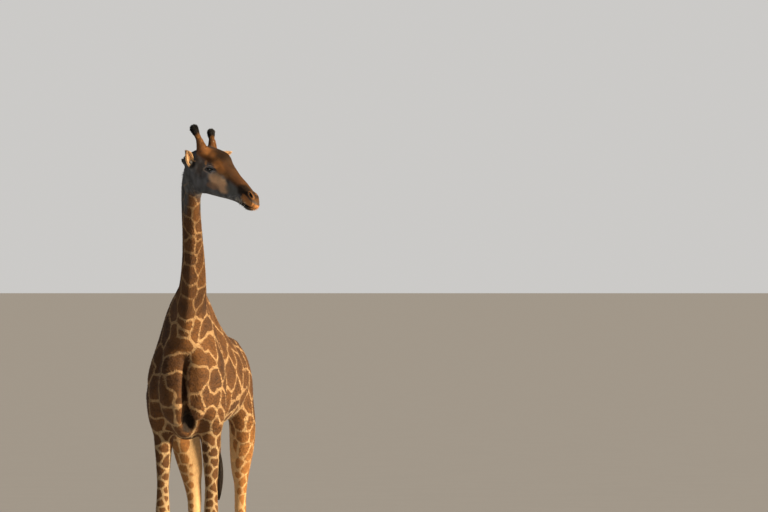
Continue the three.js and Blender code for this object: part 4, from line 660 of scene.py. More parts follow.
# pale belly and the insides of the legs
inside = np.where(legm, 1 - step(np.abs(P[:, 0]) + .35 * (1400 - P[:, 1]) * 0, 150, 215), 0) * (P[:, 1] > 900)
under = step(-N[:, 2], .45, .9) * (PART_V == 0) * (P[:, 2] < 1950) * step(P[:, 1], 150, 450)
pale = np.clip(np.maximum(inside * 1.1, under * .9), 0, 1)
inner_f = legm * (P[:, 1] < 400) * (1 - step(np.abs(P[:, 0]), 146, 176)) * (1 - step(P[:, 2], 1350, 1600)) * .25
pale = np.maximum(pale, inner_f)
half = half + pale * 40
line = mixc(line, BELLY, pale)
brisket_shade_centre = pick(186, 421); brisket_painted_shade = (1 - step(np.sqrt((((P - brisket_shade_centre) / [84, 130, 140]) ** 2).sum(1)), .5, 1.15)) * .93 * (PART_V == 0)   # painted shade in the dip between the breast's halves, darkening patches and lines
patch = mixc(patch, lin(30, 25, 21), brisket_painted_shade); line = mixc(line, lin(54, 44, 34), brisket_painted_shade)
# hind legs lighter: partly a paler coat of their own, partly painted sunlight standing in for the sun striking them
hind_pale_and_painted_sun = step(P[:, 1], 850, 1000) * (1 - step(P[:, 2], 1450, 1930)) * (PART_V != 9); patch = mixc(patch, lin(206, 144, 80), hind_pale_and_painted_sun * .72); line = mixc(line, lin(244, 200, 140), hind_pale_and_painted_sun * .7)
nk_l = (PART_V == 1); line = mixc(line, lin(170, 132, 88), nk_l * .55)
# shanks fade to plain pale below the knee
foot = step(-P[:, 2], -700, -260) * legm
half = half + foot * 16; line = mixc(line, lin(214, 184, 140), foot); line = mixc(line, lin(170, 140, 104), step(-P[:, 2], -220, -120) * legm * .6)
# along the back the patches are darker
back = step(N[:, 2], .3, .9) * (PART_V == 0) * step(P[:, 2], 2200, 2500)
patch = mixc(patch, PATCH_DARK, back * .45)
# dark nape, and the neck greying towards the throat
nk = PART_V == 1
nape = np.zeros(len(P)); m = nk | (PART_V == 2) | (PART_V == 0)
bi, bt, w_, u_, v_, q_ = neck.local(P[m]); nape[m] = (1 - step(np.abs(u_), 16, 40)) * (v_ > 0) * (P[m][:, 2] > 2700)
patch = mixc(patch, lin(62, 42, 30), nape * .85); line = mixc(line, lin(90, 64, 44), nape * .8)
up = step(P[:, 2], 3440, 3600) * (nk | (PART_V == 2))
grey = mixc(np.repeat(SLATE[None], len(P), 0), SLATE_PALE, .32 + .4 * wave(P * [1, 1, .35], 22, 15) + .2 * n2)
front = np.zeros(len(P)); front[m] = step(-v_ / np.maximum(q_[:, 2], 1), .5, .85)
up2 = up * (1 - front * (1 - step(P[:, 2], 3640, 3720)))
patch = mixc(patch, grey, up2); line = mixc(line, mixc(grey, lin(190, 160, 120), np.full(len(P), .45)), up2); half = np.where(up2 > .5, half - 4, half)
# face, painted in the head's own frame on both sides alike
hd = (PART_V == 2) | (PART_V == 3) | (PART_V == 4); Hf = fold(H, 1)
def spot(x, y): p = pick(x, y, PART_V == 2); h = to_head(p[None])[0]; return np.array([h[0], abs(h[1]), h[2]])
def sp(cx, cy): return spot(170 + cx / 14.93, 110 + cy / 14.93)
hw = Hf + np.stack([wave(P, 26, 21), wave(P, 26, 22), wave(P, 26, 23)], 1) * 6
face = grey.copy()
def brush(col, c, r, a=1., soft=.7, axes=None):
    global face
    D = hw - np.asarray(c, float)
    if axes is not None: D = D @ np.array([nrm(x) for x in axes]).T
    k = np.sqrt(((D / np.asarray(r, float)) ** 2).sum(1)); face = mixc(face, col, a * (1 - step(k, 1 - soft * .5, 1 + soft * .5)))
top = step(Hf[:, 2] + .3 * (Hf[:, 0] - 240), 20, 75)          # brown cap: forehead and bridge
BROWN, RUST, BUMP_C = lin(100, 66, 30), lin(156, 104, 54), lin(54, 34, 14)
face = mixc(face, BROWN, top * step(Hf[:, 0], 70, 130))
brush(RUST, sp(620, 630), (60, 60, 50), .85); brush(RUST, sp(740, 850), (60, 40, 44), .7, axes=[(1, 0, -.5), (0, 1, 0), (.5, 0, 1)])
brush(lin(122, 80, 50), sp(1010, 1030), (90, 44, 28), .75, axes=[(1, 0, -.5), (0, 1, 0), (.5, 0, 1)])
# pale pinkish patch on the cheek: paler hair of its own, painted lighter still as painted light for the sun grazing the
# cheek
brush(lin(238, 196, 156), sp(705, 1060), (88, 50, 54), .95, .7, axes=[(1, 0, -.35), (0, 1, 0), (.35, 0, 1)])
brush(lin(240, 196, 156), sp(800, 1160), (54, 44, 46), .92)
brush(lin(176, 138, 110), sp(640, 1130), (50, 44, 28), .7)
brush(lin(84, 54, 32), sp(900, 900), (120, 46, 26), .7, axes=[(1, 0, -.5), (0, 1, 0), (.5, 0, 1)])
brush(lin(108, 112, 112), sp(930, 1190), (74, 60, 40), .8)
brush(lin(88, 58, 30), [430, 0, 60], (150, 46, 60), .75)
brush(BUMP_C, [262, 0, 160], (96, 78, 66), .95, .7); brush(BUMP_C, [345, 0, 112], (76, 44, 44), .6)
brush(lin(40, 30, 26), [150, 0, 150], (60, 46, 50), .8); brush(lin(46, 36, 32), [60, 0, 130], (90, 60, 60), .85)
brush(lin(190, 150, 108), sp(540, 785), (15, 24, 18), .9, .5)
brush(lin(56, 52, 50), sp(450, 870), (30, 30, 46), .6)
brush(lin(38, 26, 16), sp(1105, 1190), (66, 62, 38), .92); brush(lin(40, 28, 18), sp(1090, 1250), (60, 60, 24), .85)
brush(lin(60, 60, 60), [600, 0, -165], (90, 60, 34), .85)
# lips and nose
brush(lin(140, 92, 48), HORN_BASE + [-8, 14, 6], (58, 50, 60), .9, .7); brush(lin(128, 84, 44), HORN_BASE + horn_axis * 40, (44, 44, 44), .95, .6); brush(lin(124, 82, 40), HORN_BASE + horn_axis * 70, (42, 42, 42), .95, .5); brush(lin(104, 68, 42), [96, 0, 132], (30, 34, 40), .6)
brush(lin(206, 144, 80), sp(1200, 1410), (84, 60, 27), .9, .5, axes=[(1, 0, -.3), (0, 1, 0), (.3, 0, 1)]); brush(lin(196, 142, 86), sp(1120, 1350), (52, 60, 24), .9, .5, axes=[(1, 0, -.3), (0, 1, 0), (.3, 0, 1)]); brush(lin(206, 142, 84), [706, 0, -134], (46, 66, 34), .95, .5); brush(lin(198, 134, 80), sp(1140, 1330), (54, 60, 20), .9, .5, axes=[(1, 0, -.5), (0, 1, 0), (.5, 0, 1)])
brush(lin(50, 34, 22), [664, 0, -46], (52, 60, 26), .9); brush(lin(40, 30, 26), sp(1255, 1250), (18, 20, 26), .85)
k = np.sqrt((((hw - M['nostril'].c) @ M['nostril'].R.T / (M['nostril'].r * [1.0, 1.6, 1.0])) ** 2).sum(1))
face = mixc(face, lin(158, 108, 62), (1 - step(k, 1.6, 2.1)) * .7); face = mixc(face, lin(16, 11, 9), 1 - step(k, 1.15, 1.5))
k = np.sqrt((((hw - M['mouth'].c) @ M['mouth'].R.T / (M['mouth'].r * [1, 1.4, 2.2])) ** 2).sum(1)); face = mixc(face, lin(30, 22, 20), (1 - step(k, .7, 1.25)) * .9)
brush(lin(58, 58, 56), [655, 20, -172], (56, 44, 26), .9, .5)
# round the eye: black rims, a pale line over and under
ca_, sa_ = math.cos(math.radians(20)), math.sin(math.radians(20)); D = Hf - M['lids'].c - [4, 0, 0]; dl, dv = D[:, 0] * ca_ + D[:, 2] * sa_, -D[:, 0] * sa_ + D[:, 2] * ca_
rr = (np.abs(dl / 50) ** 1.6 + np.abs(dv / 21) ** 1.6) ** (1 / 1.6); nearE = (1 - step(np.abs(D[:, 1]), 40, 60))
face = mixc(face, lin(190, 168, 150), (1 - step(np.abs(rr - 1.36), .1, .28)) * nearE * .6 * (dl < 30))
face = mixc(face, lin(20, 15, 13), (1 - step(rr, 1.0, 1.22)) * nearE)
tr = np.sqrt((((hw - M['tear'].c) @ M['tear'].R.T / [26, 22, 8]) ** 2).sum(1)); face = mixc(face, lin(24, 18, 15), 1 - step(tr, .8, 1.2))
# ears: pale inside with a dark root, grey-tan behind
for kk, s in ((3, 1), (4, -1)):
    e = EAR[s]; m = (PART_V == kk) | ((PART_V == 2) & (np.linalg.norm(H - e['root'], axis=1) < 110))
    t, a, o = ear_uv(H[m], e); w = np.maximum(ear_width(t), 4); surf = 30 * (1 - .55 * np.clip(t, 0, 1)) * (np.clip(np.abs(a) / w, 0, 1.3) ** 2) - 20 + 8 * np.clip(t, 0, 1)
    rootd = np.linalg.norm(H[m] - e['root'] - e['axis'] * 34, axis=1); face[m] = mixc(face[m], lin(40, 31, 26), (1 - step(rootd, 22, 50)) * .85)
    inn = (o > surf - 1) & (t > .16) & (np.abs(a) < w + 4) & (np.abs(o - surf) < 12); f = face[m]
    f = mixc(f, lin(96, 76, 60), step(t, .2, .4) * .8 * (np.abs(o - surf) < 14))
    pal = mixc(np.repeat(lin(240, 204, 158)[None], len(t), 0), lin(206, 150, 100), .5 - .5 * np.abs(a / w))
    pal = mixc(pal, lin(50, 34, 26), (1 - step(t, .16, .46)) * (1 - step(np.abs(a / w), .35, .75)))
    f = mixc(f, pal, inn * step(t, .12, .2)); f = mixc(f, lin(236, 200, 154), (np.abs(a) > w - 7) * (np.abs(a) < w + 6) * (t > .25) * (np.abs(o - surf) < 14) * .8); f = mixc(f, lin(52, 36, 28), (t > .93) * .5); face[m] = f
patch[hd] = face[hd]; line[hd] = face[hd]
blend = np.clip(step(H[:, 0] * .774 + H[:, 2] * .633, -150, -20), 0, 1) * nk; patch = mixc(patch, face, blend); line = mixc(line, face, blend)
rel = edge - half                                         # mm into the patch
rel[hd] = 60.; patch, line = np.clip(patch, 0, 1), np.clip(line, 0, 1)
# tail
tl = PART_V == 9; line[tl] = mixc(line[tl], lin(150, 112, 74), np.full(tl.sum(), .3)); patch[tl] = mixc(patch[tl], lin(96, 62, 38), np.full(tl.sum(), .4))
log('painted')

# ------------------------------------------------------------------ meshes
SHIFT = (np.array(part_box("eye_left")[0]) + np.array(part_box("eye_left")[1])) / 2 * 1000 - to_world(EYE)
log('shift', SHIFT)
def mesh_of(name, verts, faces, attrs={}, uvs={}, smooth=True, material=None):
    """faces: array, all of one size; attrs: name -> one value or colour a vertex; uvs: name -> two values a corner"""
    me = bpy.data.meshes.new(name); n, k = faces.shape
    me.vertices.add(len(verts)); me.vertices.foreach_set('co', ((verts + SHIFT) / 1000).astype(np.float32).ravel())
    me.loops.add(n * k); me.loops.foreach_set('vertex_index', faces.astype(np.int32).ravel())
    me.polygons.add(n); me.polygons.foreach_set('loop_start', np.arange(0, n * k, k, dtype=np.int32))
    me.update(calc_edges=True); me.validate(clean_customdata=False)
    for a, v in attrs.items():
        v = np.asarray(v, np.float32)
        if v.ndim == 2:
            at_ = me.attributes.new(a, 'FLOAT_COLOR', 'POINT'); at_.data.foreach_set('color', np.hstack([v, np.ones((len(v), 1), np.float32)]).ravel())
        else: at_ = me.attributes.new(a, 'FLOAT', 'POINT'); at_.data.foreach_set('value', v)
    for u, v in uvs.items():
        lay = me.uv_layers.new(name=u); lay.data.foreach_set('uv', np.asarray(v, np.float32).ravel())
    if smooth: me.polygons.foreach_set('use_smooth', np.ones(n, bool))
    if material: me.materials.append(material)
    ob = bpy.data.objects.new(name, me); bpy.context.scene.collection.objects.link(ob); return ob

class Nodes:
    """a short way to write a node material"""
    def __init__(s, name):
        s.m = bpy.data.materials.new(name); s.m.use_nodes = True; s.t = s.m.node_tree; s.t.nodes.clear()
        s.out = s.t.nodes.new('ShaderNodeOutputMaterial'); s.b = s.t.nodes.new('ShaderNodeBsdfPrincipled'); s.t.links.new(s.b.outputs[0], s.out.inputs[0])
    def put(s, sock, v):
        if isinstance(v, bpy.types.NodeSocket): s.t.links.new(v, sock)
        elif v is not None: sock.default_value = v
    def new(s, kind, **inputs):
        n = s.t.nodes.new(kind)
        for k, v in inputs.items():
            if k.startswith('_'): setattr(n, k[1:], v)
        for k, v in inputs.items():
            if not k.startswith('_'): s.put(n.inputs[int(k[1:]) if k[0] == 'i' and k[1:].isdigit() else k], v)
        return n
    def attr(s, name, col=False): n = s.new('ShaderNodeAttribute', _attribute_name=name); return n.outputs['Color' if col else 'Fac']
    def math(s, op, a, b=None, c=None, clamp=False):
        n = s.t.nodes.new('ShaderNodeMath'); n.operation = op; n.use_clamp = clamp
        for i, v in enumerate((a, b, c)): s.put(n.inputs[i], v)
        return n.outputs[0]
    def noise(s, vec, scale, detail=3., rough=.55): return s.new('ShaderNodeTexNoise', Vector=vec, Scale=scale, Detail=detail, Roughness=rough).outputs['Fac']
    def mix(s, a, b, t, mode='MIX'):
        n = s.t.nodes.new('ShaderNodeMix'); n.data_type = 'RGBA'; n.blend_type = mode; n.clamp_result = True
        s.put(n.inputs[0], t); s.put(n.inputs[6], a if not isinstance(a, tuple) else (*a, 1)); s.put(n.inputs[7], b if not isinstance(b, tuple) else (*b, 1)); return n.outputs[2]
    def ramp(s, v, lo, hi, a=0., b=1.):
        n = s.new('ShaderNodeMapRange', Value=v); n.inputs['From Min'].default_value = lo; n.inputs['From Max'].default_value = hi
        n.inputs['To Min'].default_value = a; n.inputs['To Max'].default_value = b; n.interpolation_type = 'SMOOTHSTEP'; return n.outputs[0]
    def coord(s): return s.new('ShaderNodeTexCoord').outputs['Object']
    def scaled(s, v, x, y, z): n = s.new('ShaderNodeMapping', Vector=v); n.inputs['Scale'].default_value = (x, y, z); return n.outputs[0]
    def bump(s, h, strength, dist): return s.new('ShaderNodeBump', Height=h, Strength=strength, Distance=dist).outputs[0]
def pelt(name, tuft):
    """the same markings for the skin and for what grows on it"""
    n = Nodes(name); co = n.coord()
    rel_ = n.attr('rel'); ragged = n.noise(co, 95., 3.); fine = n.noise(co, 420., 2.)
    e = n.math('ADD', rel_, n.math('MULTIPLY', n.math('SUBTRACT', ragged, .5), 6.)); e = n.math('ADD', e, n.math('MULTIPLY', n.math('SUBTRACT', fine, .5), 4.))
    t = n.ramp(e, -1.6, 3.4)
    col = n.mix(n.attr('line', True), n.attr('patch', True), t)
    mott = n.noise(co, 34., 4., .62); speck = n.noise(co, 900., 2.)
    k = n.math('ADD', n.math('MULTIPLY', mott, .55), n.math('MULTIPLY', speck, .42)); k = n.math('ADD', k, .52)
    if tuft: k = n.math('MULTIPLY', k, n.attr('shade'))
    g = n.new('ShaderNodeCombineXYZ', X=k, Y=k, Z=k).outputs[0]
    col = n.mix(col, g, 1., 'MULTIPLY'); n.put(n.b.inputs['Base Color'], col)
    n.put(n.b.inputs['Roughness'], n.ramp(n.noise(co, 60., 2.), .3, .7, .62, .8))
    n.b.inputs['Specular IOR Level'].default_value = .28
    n.b.inputs['Sheen Weight'].default_value = .12 if tuft else .08; n.b.inputs['Sheen Roughness'].default_value = .5
    if not tuft:
        uv = n.new('ShaderNodeUVMap', _uv_map='hair').outputs[0]
        a = n.noise(n.scaled(uv, 620., 70., 1), 1., 2.); b = n.noise(n.scaled(uv, 230., 24., 1), 1., 3.); wet = n.attr('bare')
        h = n.math('ADD', n.math('MULTIPLY', a, .5), n.math('MULTIPLY', b, .8)); h = n.math('MULTIPLY', h, n.math('SUBTRACT', 1., wet))
        pores = n.noise(co, 700., 2.); h = n.math('ADD', h, n.math('MULTIPLY', n.math('MULTIPLY', pores, wet), .7))
        n.put(n.b.inputs['Normal'], n.bump(h, .55, .003))
        n.put(n.b.inputs['Roughness'], n.math('SUBTRACT', n.ramp(n.noise(co, 60., 2.), .3, .7, .66, .82), n.math('MULTIPLY', wet, .34)))
    else:
        n.put(n.b.inputs['Normal'], n.bump(n.noise(n.scaled(co, 1, 1, .4), 800., 2.), .25, .001))
    return n.m
M_SKIN, M_FUR = pelt('giraffe_skin', False), pelt('giraffe_fur', True)

# skin
bare = np.zeros(len(V)); hh = Hf
for c, r, a in ((M['nostril'].c, (34, 34, 24), .9), (M['lids'].c, (44, 40, 26), .6), ([715, 0, -140], (40, 50, 20), .35)): bare = np.maximum(bare, a * blob(hh, c, r, .6) * (PART_V == 2))
RAD = np.zeros(10)
for k in range(10):
    m = PART_F == k
    if m.any(): RAD[k] = {0: 420, 1: 105, 2: 85, 3: 30, 4: 30, 5: 62, 6: 62, 7: 70, 8: 70, 9: 26}[k]
HAIR_L = np.stack([AL[:, 0] * 2 * np.pi * RAD[PART_L] / 1000, AL[:, 1] / 1000], 1)
skin = mesh_of('skin', V, Q, dict(rel=rel, patch=patch, line=line, bare=bare), dict(OFBake=UV_L, hair=HAIR_L), material=M_SKIN)
FLESH = ["trunk", "neck", "head", "ear_left", "ear_right", "tail"] + [f"{a}leg_{b}_{c}" for a in ("fore", "hind") for b in ("upper", "lower") for c in ("left", "right")]
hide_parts(*FLESH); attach(skin, "root")
log('skin made')

# ------------------------------------------------------------------ coat
def flow(P, part, Nn):
    """which way the hair lies"""
    H = to_head(P); out = np.zeros_like(P)
    base = np.array([0, 1, -.32])
    out += base
    m = part == 1
    if m.any():
        bi, bt, w, u, v, q = neck.local(P[m]); T = -(neck.T[bi]); out[m] = T * 1. + neck.V[bi] * .12
        t = 1 - step(P[m][:, 2], 2700, 3000); out[m] = out[m] * (1 - t[:, None] * .5) + base * t[:, None] * .5
    m = part == 2
    if m.any():
        d = np.zeros((m.sum(), 3)); d[:, 0] = -1; d[:, 2] = -.35 + .5 * step(H[m][:, 2], 20, 110); d[:, 1] = .25 * np.sign(H[m][:, 1])
        lip_ = step(H[m][:, 0], 600, 690); d[:, 2] -= lip_ * .9; d[:, 0] += lip_ * .8
        out[m] = d @ HM
    for k, s in ((3, 1), (4, -1)):
        m = part == k
        if m.any(): e = EAR[s]; t, a, o = ear_uv(H[m], e); out[m] = (e['axis'][None] + e['side'][None] * (np.sign(a) * .5)[:, None]) @ HM
    lg = (part >= 5) & (part <= 8); out[lg] = [0, .12, -1]
    t = (1 - step(P[:, 2], 1700, 2050)) * (part == 0) * (np.abs(P[:, 0]) > 110) * ((P[:, 1] < 300) | (P[:, 1] > 950)); out = out * (1 - t[:, None]) + np.array([0, .2, -1]) * t[:, None]
    m = part == 9
    if m.any(): bi, bt, *_r = tail_bar.local(P[m]); out[m] = tail_bar.T[bi]
    out += np.stack([wave(P, 60, 31), wave(P, 60, 32), wave(P, 60, 33)], 1) * .16
    out -= Nn * (out * Nn).sum(1, keepdims=True)
    return out / np.maximum(np.linalg.norm(out, axis=1, keepdims=True), 1e-6)
A_F = .5 * np.linalg.norm(np.cross(V[Q[:, 2]] - V[Q[:, 0]], V[Q[:, 3]] - V[Q[:, 1]]), axis=1)
UV_F = UV_L.reshape(-1, 4, 2)
def roots(weight, count, seed):
    r = np.random.default_rng(seed); w = A_F * weight; cs = np.cumsum(w); tot = cs[-1]
    f = np.searchsorted(cs, (np.arange(count) + r.random(count)) / count * tot); f = np.minimum(f, len(Q) - 1)
    u, v = r.random(count), r.random(count); b = np.stack([(1 - u) * (1 - v), u * (1 - v), u * v, (1 - u) * v], 1)
    g = lambda A: np.einsum('ij,ij...->i...', b, A[Q[f]])
    nn = g(N); nn /= np.linalg.norm(nn, axis=1, keepdims=True)
    return dict(f=f, p=g(V), n=nn, rel=g(rel), patch=g(patch), line=g(line), part=PART_F[f], uv=np.einsum('ij,ijk->ik', b, UV_F[f]), r=r)
def tufts(name, R, D, L, Wd, Th, lift, droop, sink=2.0, material=None, shade=None, curl=None, rows=2, stand=None):
    """spikes of three sides: a root, a middle and a tip, each lying along D and lifted off the skin"""
    p, n, r = R['p'], R['n'], R['r']; k = len(p); B = np.cross(D, n); B /= np.maximum(np.linalg.norm(B, axis=1, keepdims=True), 1e-6)
    L, Wd, Th, lift, droop = [np.broadcast_to(np.asarray(x, float), (k,))[:, None] for x in (L, Wd, Th, lift, droop)]
    side_ = B * (r.normal(0, .12, (k, 1)) * L)
    if curl is not None: side_ = side_ + curl
    base = p - n * sink; cols, verts = [], []
    ts = [0.] + [i / rows * .92 for i in range(1, rows)]
    for t in ts:
        c = base + D * L * t + n * ((lift + sink) * np.sin(min(1, t * 1.5) * np.pi / 2)) + side_ * t * t
        w = Wd * (1 - .45 * t) * (.75 if t == 0 else 1)
        verts += [c - B * w / 2, c + B * w / 2, c + n * Th * (1 - .3 * t)]
    verts.append(base + D * L + n * (lift + sink - droop) + side_)
    m = len(ts) * 3 + 1; VV = np.stack(verts, 1).reshape(-1, 3); off = np.arange(k)[:, None] * m; fs = [[0, 2, 1]]
    for i in range(len(ts) - 1):
        a = i * 3; b = a + 3
        for x, y in ((0, 1), (1, 2), (2, 0)): fs += [[a + x, a + y, b + y], [a + x, b + y, b + x]]
    a = (len(ts) - 1) * 3; fs += [[a, a + 1, m - 1], [a + 1, a + 2, m - 1], [a + 2, a, m - 1]]
    fs = np.array(fs); FF = (off[:, :, None] + fs[None]).reshape(-1, 3)
    along = np.array([t for t in ts for _ in range(3)] + [1.]); sh = (.84 + .26 * along)[None] * (1 + r.normal(0, .09, (k, 1)))
    if shade is not None: sh = sh * shade[:, None]
    rep = lambda X: np.repeat(X, m, 0)
    ang = np.linspace(0, 2 * np.pi, m, endpoint=False); pat = np.stack([np.cos(ang), np.sin(ang)], 1) * .0013
    uvv = (R['uv'][:, None] + pat[None]).reshape(-1, 2); uvl = uvv[FF.reshape(-1)]
    ob = mesh_of(name, VV, FF, dict(rel=rep(R['rel']), patch=rep(R['patch']), line=rep(R['line']), shade=sh.reshape(-1)), dict(OFBake=uvl), material=material or M_FUR)
    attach(ob, "root"); log(name, k, 'tufts', len(FF), 'triangles'); return ob
def coat(name, weight, count, L, Wd, lift, seed, Th=1.4, jitter=.25):
    R = roots(weight, count, seed); r = R['r']; D = flow(R['p'], R['part'], R['n'])
    Lx = (L(R) if callable(L) else L) * np.clip(1 + r.normal(0, jitter, len(R['p'])), .5, 1.7)
    Wx = (Wd(R) if callable(Wd) else Wd) * (1 + r.normal(0, .15, len(R['p'])))
    return tufts(name, R, D, Lx, Wx, Th, (lift(R) if callable(lift) else lift) * np.clip(1 + r.normal(0, .3, len(R['p'])), .3, 2), Lx * .04 + 1.)
pf = PART_F; Cn = N[Q].mean(1)
coat('coat_trunk_left', (pf == 0) * (C[:, 0] >= 0), 17000, 22., 5.5, 2.6, 1)
coat('coat_trunk_right', (pf == 0) * (C[:, 0] < 0), 17000, 22., 5.5, 2.6, 2)
coat('coat_neck', (pf == 1) * 1., 18500, lambda R: 19 - 5 * step(R['p'][:, 2], 3000, 3700), lambda R: 4.6 - 1.2 * step(R['p'][:, 2], 3000, 3700), 2.4, 3)
for nm_, ks, sd in (('coat_legs_fore', (5, 6), 4), ('coat_legs_hind', (7, 8), 5)):
    coat(nm_, np.isin(pf, ks) * 1., 17000, lambda R: 10 + 8 * step(R['p'][:, 2], 900, 1500), lambda R: 3.2 + 1.2 * step(R['p'][:, 2], 900, 1500), 1.7, sd, Th=1.1)
HC = to_head(C); face_w = (pf == 2) * 1.; HCf = fold(HC, 1)
for c, r_ in ((M['nostril'].c, (30, 36, 20)), (M['lids'].c, (40, 60, 23)), (M['tear'].c, (28, 40, 10)), (M['mouth'].c, (96, 60, 7))): face_w = face_w * (1 - blob(HCf, c, r_, .2))
face_w = face_w * (1 + 1.2 * step(HC[:, 0], 430, 650))
def face_len(R): x = to_head(R['p'])[:, 0]; return 10.5 - 5. * step(x, 330, 640)
coat('coat_face', face_w, 19500, face_len, lambda R: face_len(R) * .25, lambda R: face_len(R) * .09, 6, Th=.8)
coat('coat_ears', np.isin(pf, (3, 4)) * 1., 4200, 11., 2.2, 1.6, 7, Th=.8)
coat('coat_tail', (pf == 9) * 1., 3000, 18., 3., 2., 8, Th=1.)

# ------------------------------------------------------------------ hair that stands: mane, ear edges, horn tips, lashes, chin, tail
def dark_roots(p, n, col, seed, uv=None):
    k = len(p); r = np.random.default_rng(seed); uv = np.full((k, 2), .5) if uv is None else uv
    c = np.asarray(col, float); c = np.repeat(c[None], k, 0) if c.ndim == 1 else c
    return dict(p=p, n=n / np.linalg.norm(n, axis=1, keepdims=True), rel=np.full(k, 60.), patch=c, line=c, uv=uv, r=r)
def spread_uv(k, seed):
    r = np.random.default_rng(seed); return .02 + .96 * r.random((k, 2))
# mane
r = np.random.default_rng(51); k = 9500; i0, i1 = 8.2, len(neck.c) - 1.
ii = i0 + (i1 + .5 - i0) * r.random(k); ic = np.clip(ii, 0, i1); b = np.minimum(ic.astype(int), len(neck.c) - 2); t = (ic - b)[:, None]
g = lambda A: A[b] * (1 - t) + A[b + 1] * t
T, S_v, Vv = g(neck.T), g(neck.S), g(neck.V); c = g(neck.c) + T * (np.maximum(ii - i1, 0) * 28)[:, None]; topr = g(neck.q)[:, 1]
a = np.clip(r.normal(0, 5.5, k), -15, 15); end = np.clip(np.minimum(6 * (ic - 9) / (i1 - 9) + .3, 1.0 - np.maximum(ii - i1 + 1.5, 0) * .2), .22, 1)
p = c + S_v * a[:, None] + Vv * (topr - 7 - (a / 15) ** 2 * 5)[:, None]; n_ = T * -.35 + S_v * (a / 24)[:, None] + Vv; n_ /= np.linalg.norm(n_, axis=1, keepdims=True)
cl = mixc(np.repeat(lin(88, 54, 32)[None], k, 0), lin(44, 29, 21), .5 + .5 * wave(p, 40, 61))
R = dark_roots(p, n_, cl, 52, np.stack([.02 + .96 * (ii - i0) / (i1 + .5 - i0), .5 + a / 34], 1)); D = n_ + np.stack([r.normal(0, .12, k)] * 3, 1) * S_v + T * r.normal(0, .1, (k, 1)); D /= np.linalg.norm(D, axis=1, keepdims=True)
R['n'] = np.cross(D, S_v); R['n'] /= np.linalg.norm(R['n'], axis=1, keepdims=True)
mane = tufts('mane_hair', R, D, (40 + 10 * r.random(k)) * end, 3.4, 1.8, 0, 0, sink=0, curl=T * (-(3 + 5 * r.random((k, 1)))) * end[:, None])
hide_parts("mane")

# ear edges and the pale hair inside them
pp, dd, nn, cc = [], [], [], []
r = np.random.default_rng(53)
for s in (1, -1):
    e = EAR[s]; k = 1200; t = .2 + .76 * r.random(k); sd = np.sign(r.random(k) - .5); w = ear_width(t); a = sd * w * (.35 + .6 * r.random(k) ** .5)
    o = 30 * (1 - .55 * t) * (np.abs(a) / w) ** 2 - 20 + 8 * t + 3
    q = e['root'] + e['axis'] * (t * e['len'])[:, None] + e['side'] * a[:, None] + e['face'] * o[:, None]
    d = e['axis'] * .75 - e['side'] * (sd * .55)[:, None] + e['face'] * .35
    pp.append(to_world(q)); dd.append(d @ HM); nn.append(np.repeat((e['face'] @ HM)[None], k, 0)); cc.append(mixc(np.repeat(lin(244, 214, 172)[None], k, 0), lin(214, 170, 124), r.random(k)))
p, D, n_, cl = map(np.vstack, (pp, dd, nn, cc)); D /= np.linalg.norm(D, axis=1, keepdims=True); n_ = n_ - D * (n_ * D).sum(1, keepdims=True)
tufts('ear_fringe', dark_roots(p, n_, cl, 54, spread_uv(len(p), 55)), D, 15 + 8 * np.random.default_rng(56).random(len(p)), 1.5, .8, 1.5, 0, sink=1)

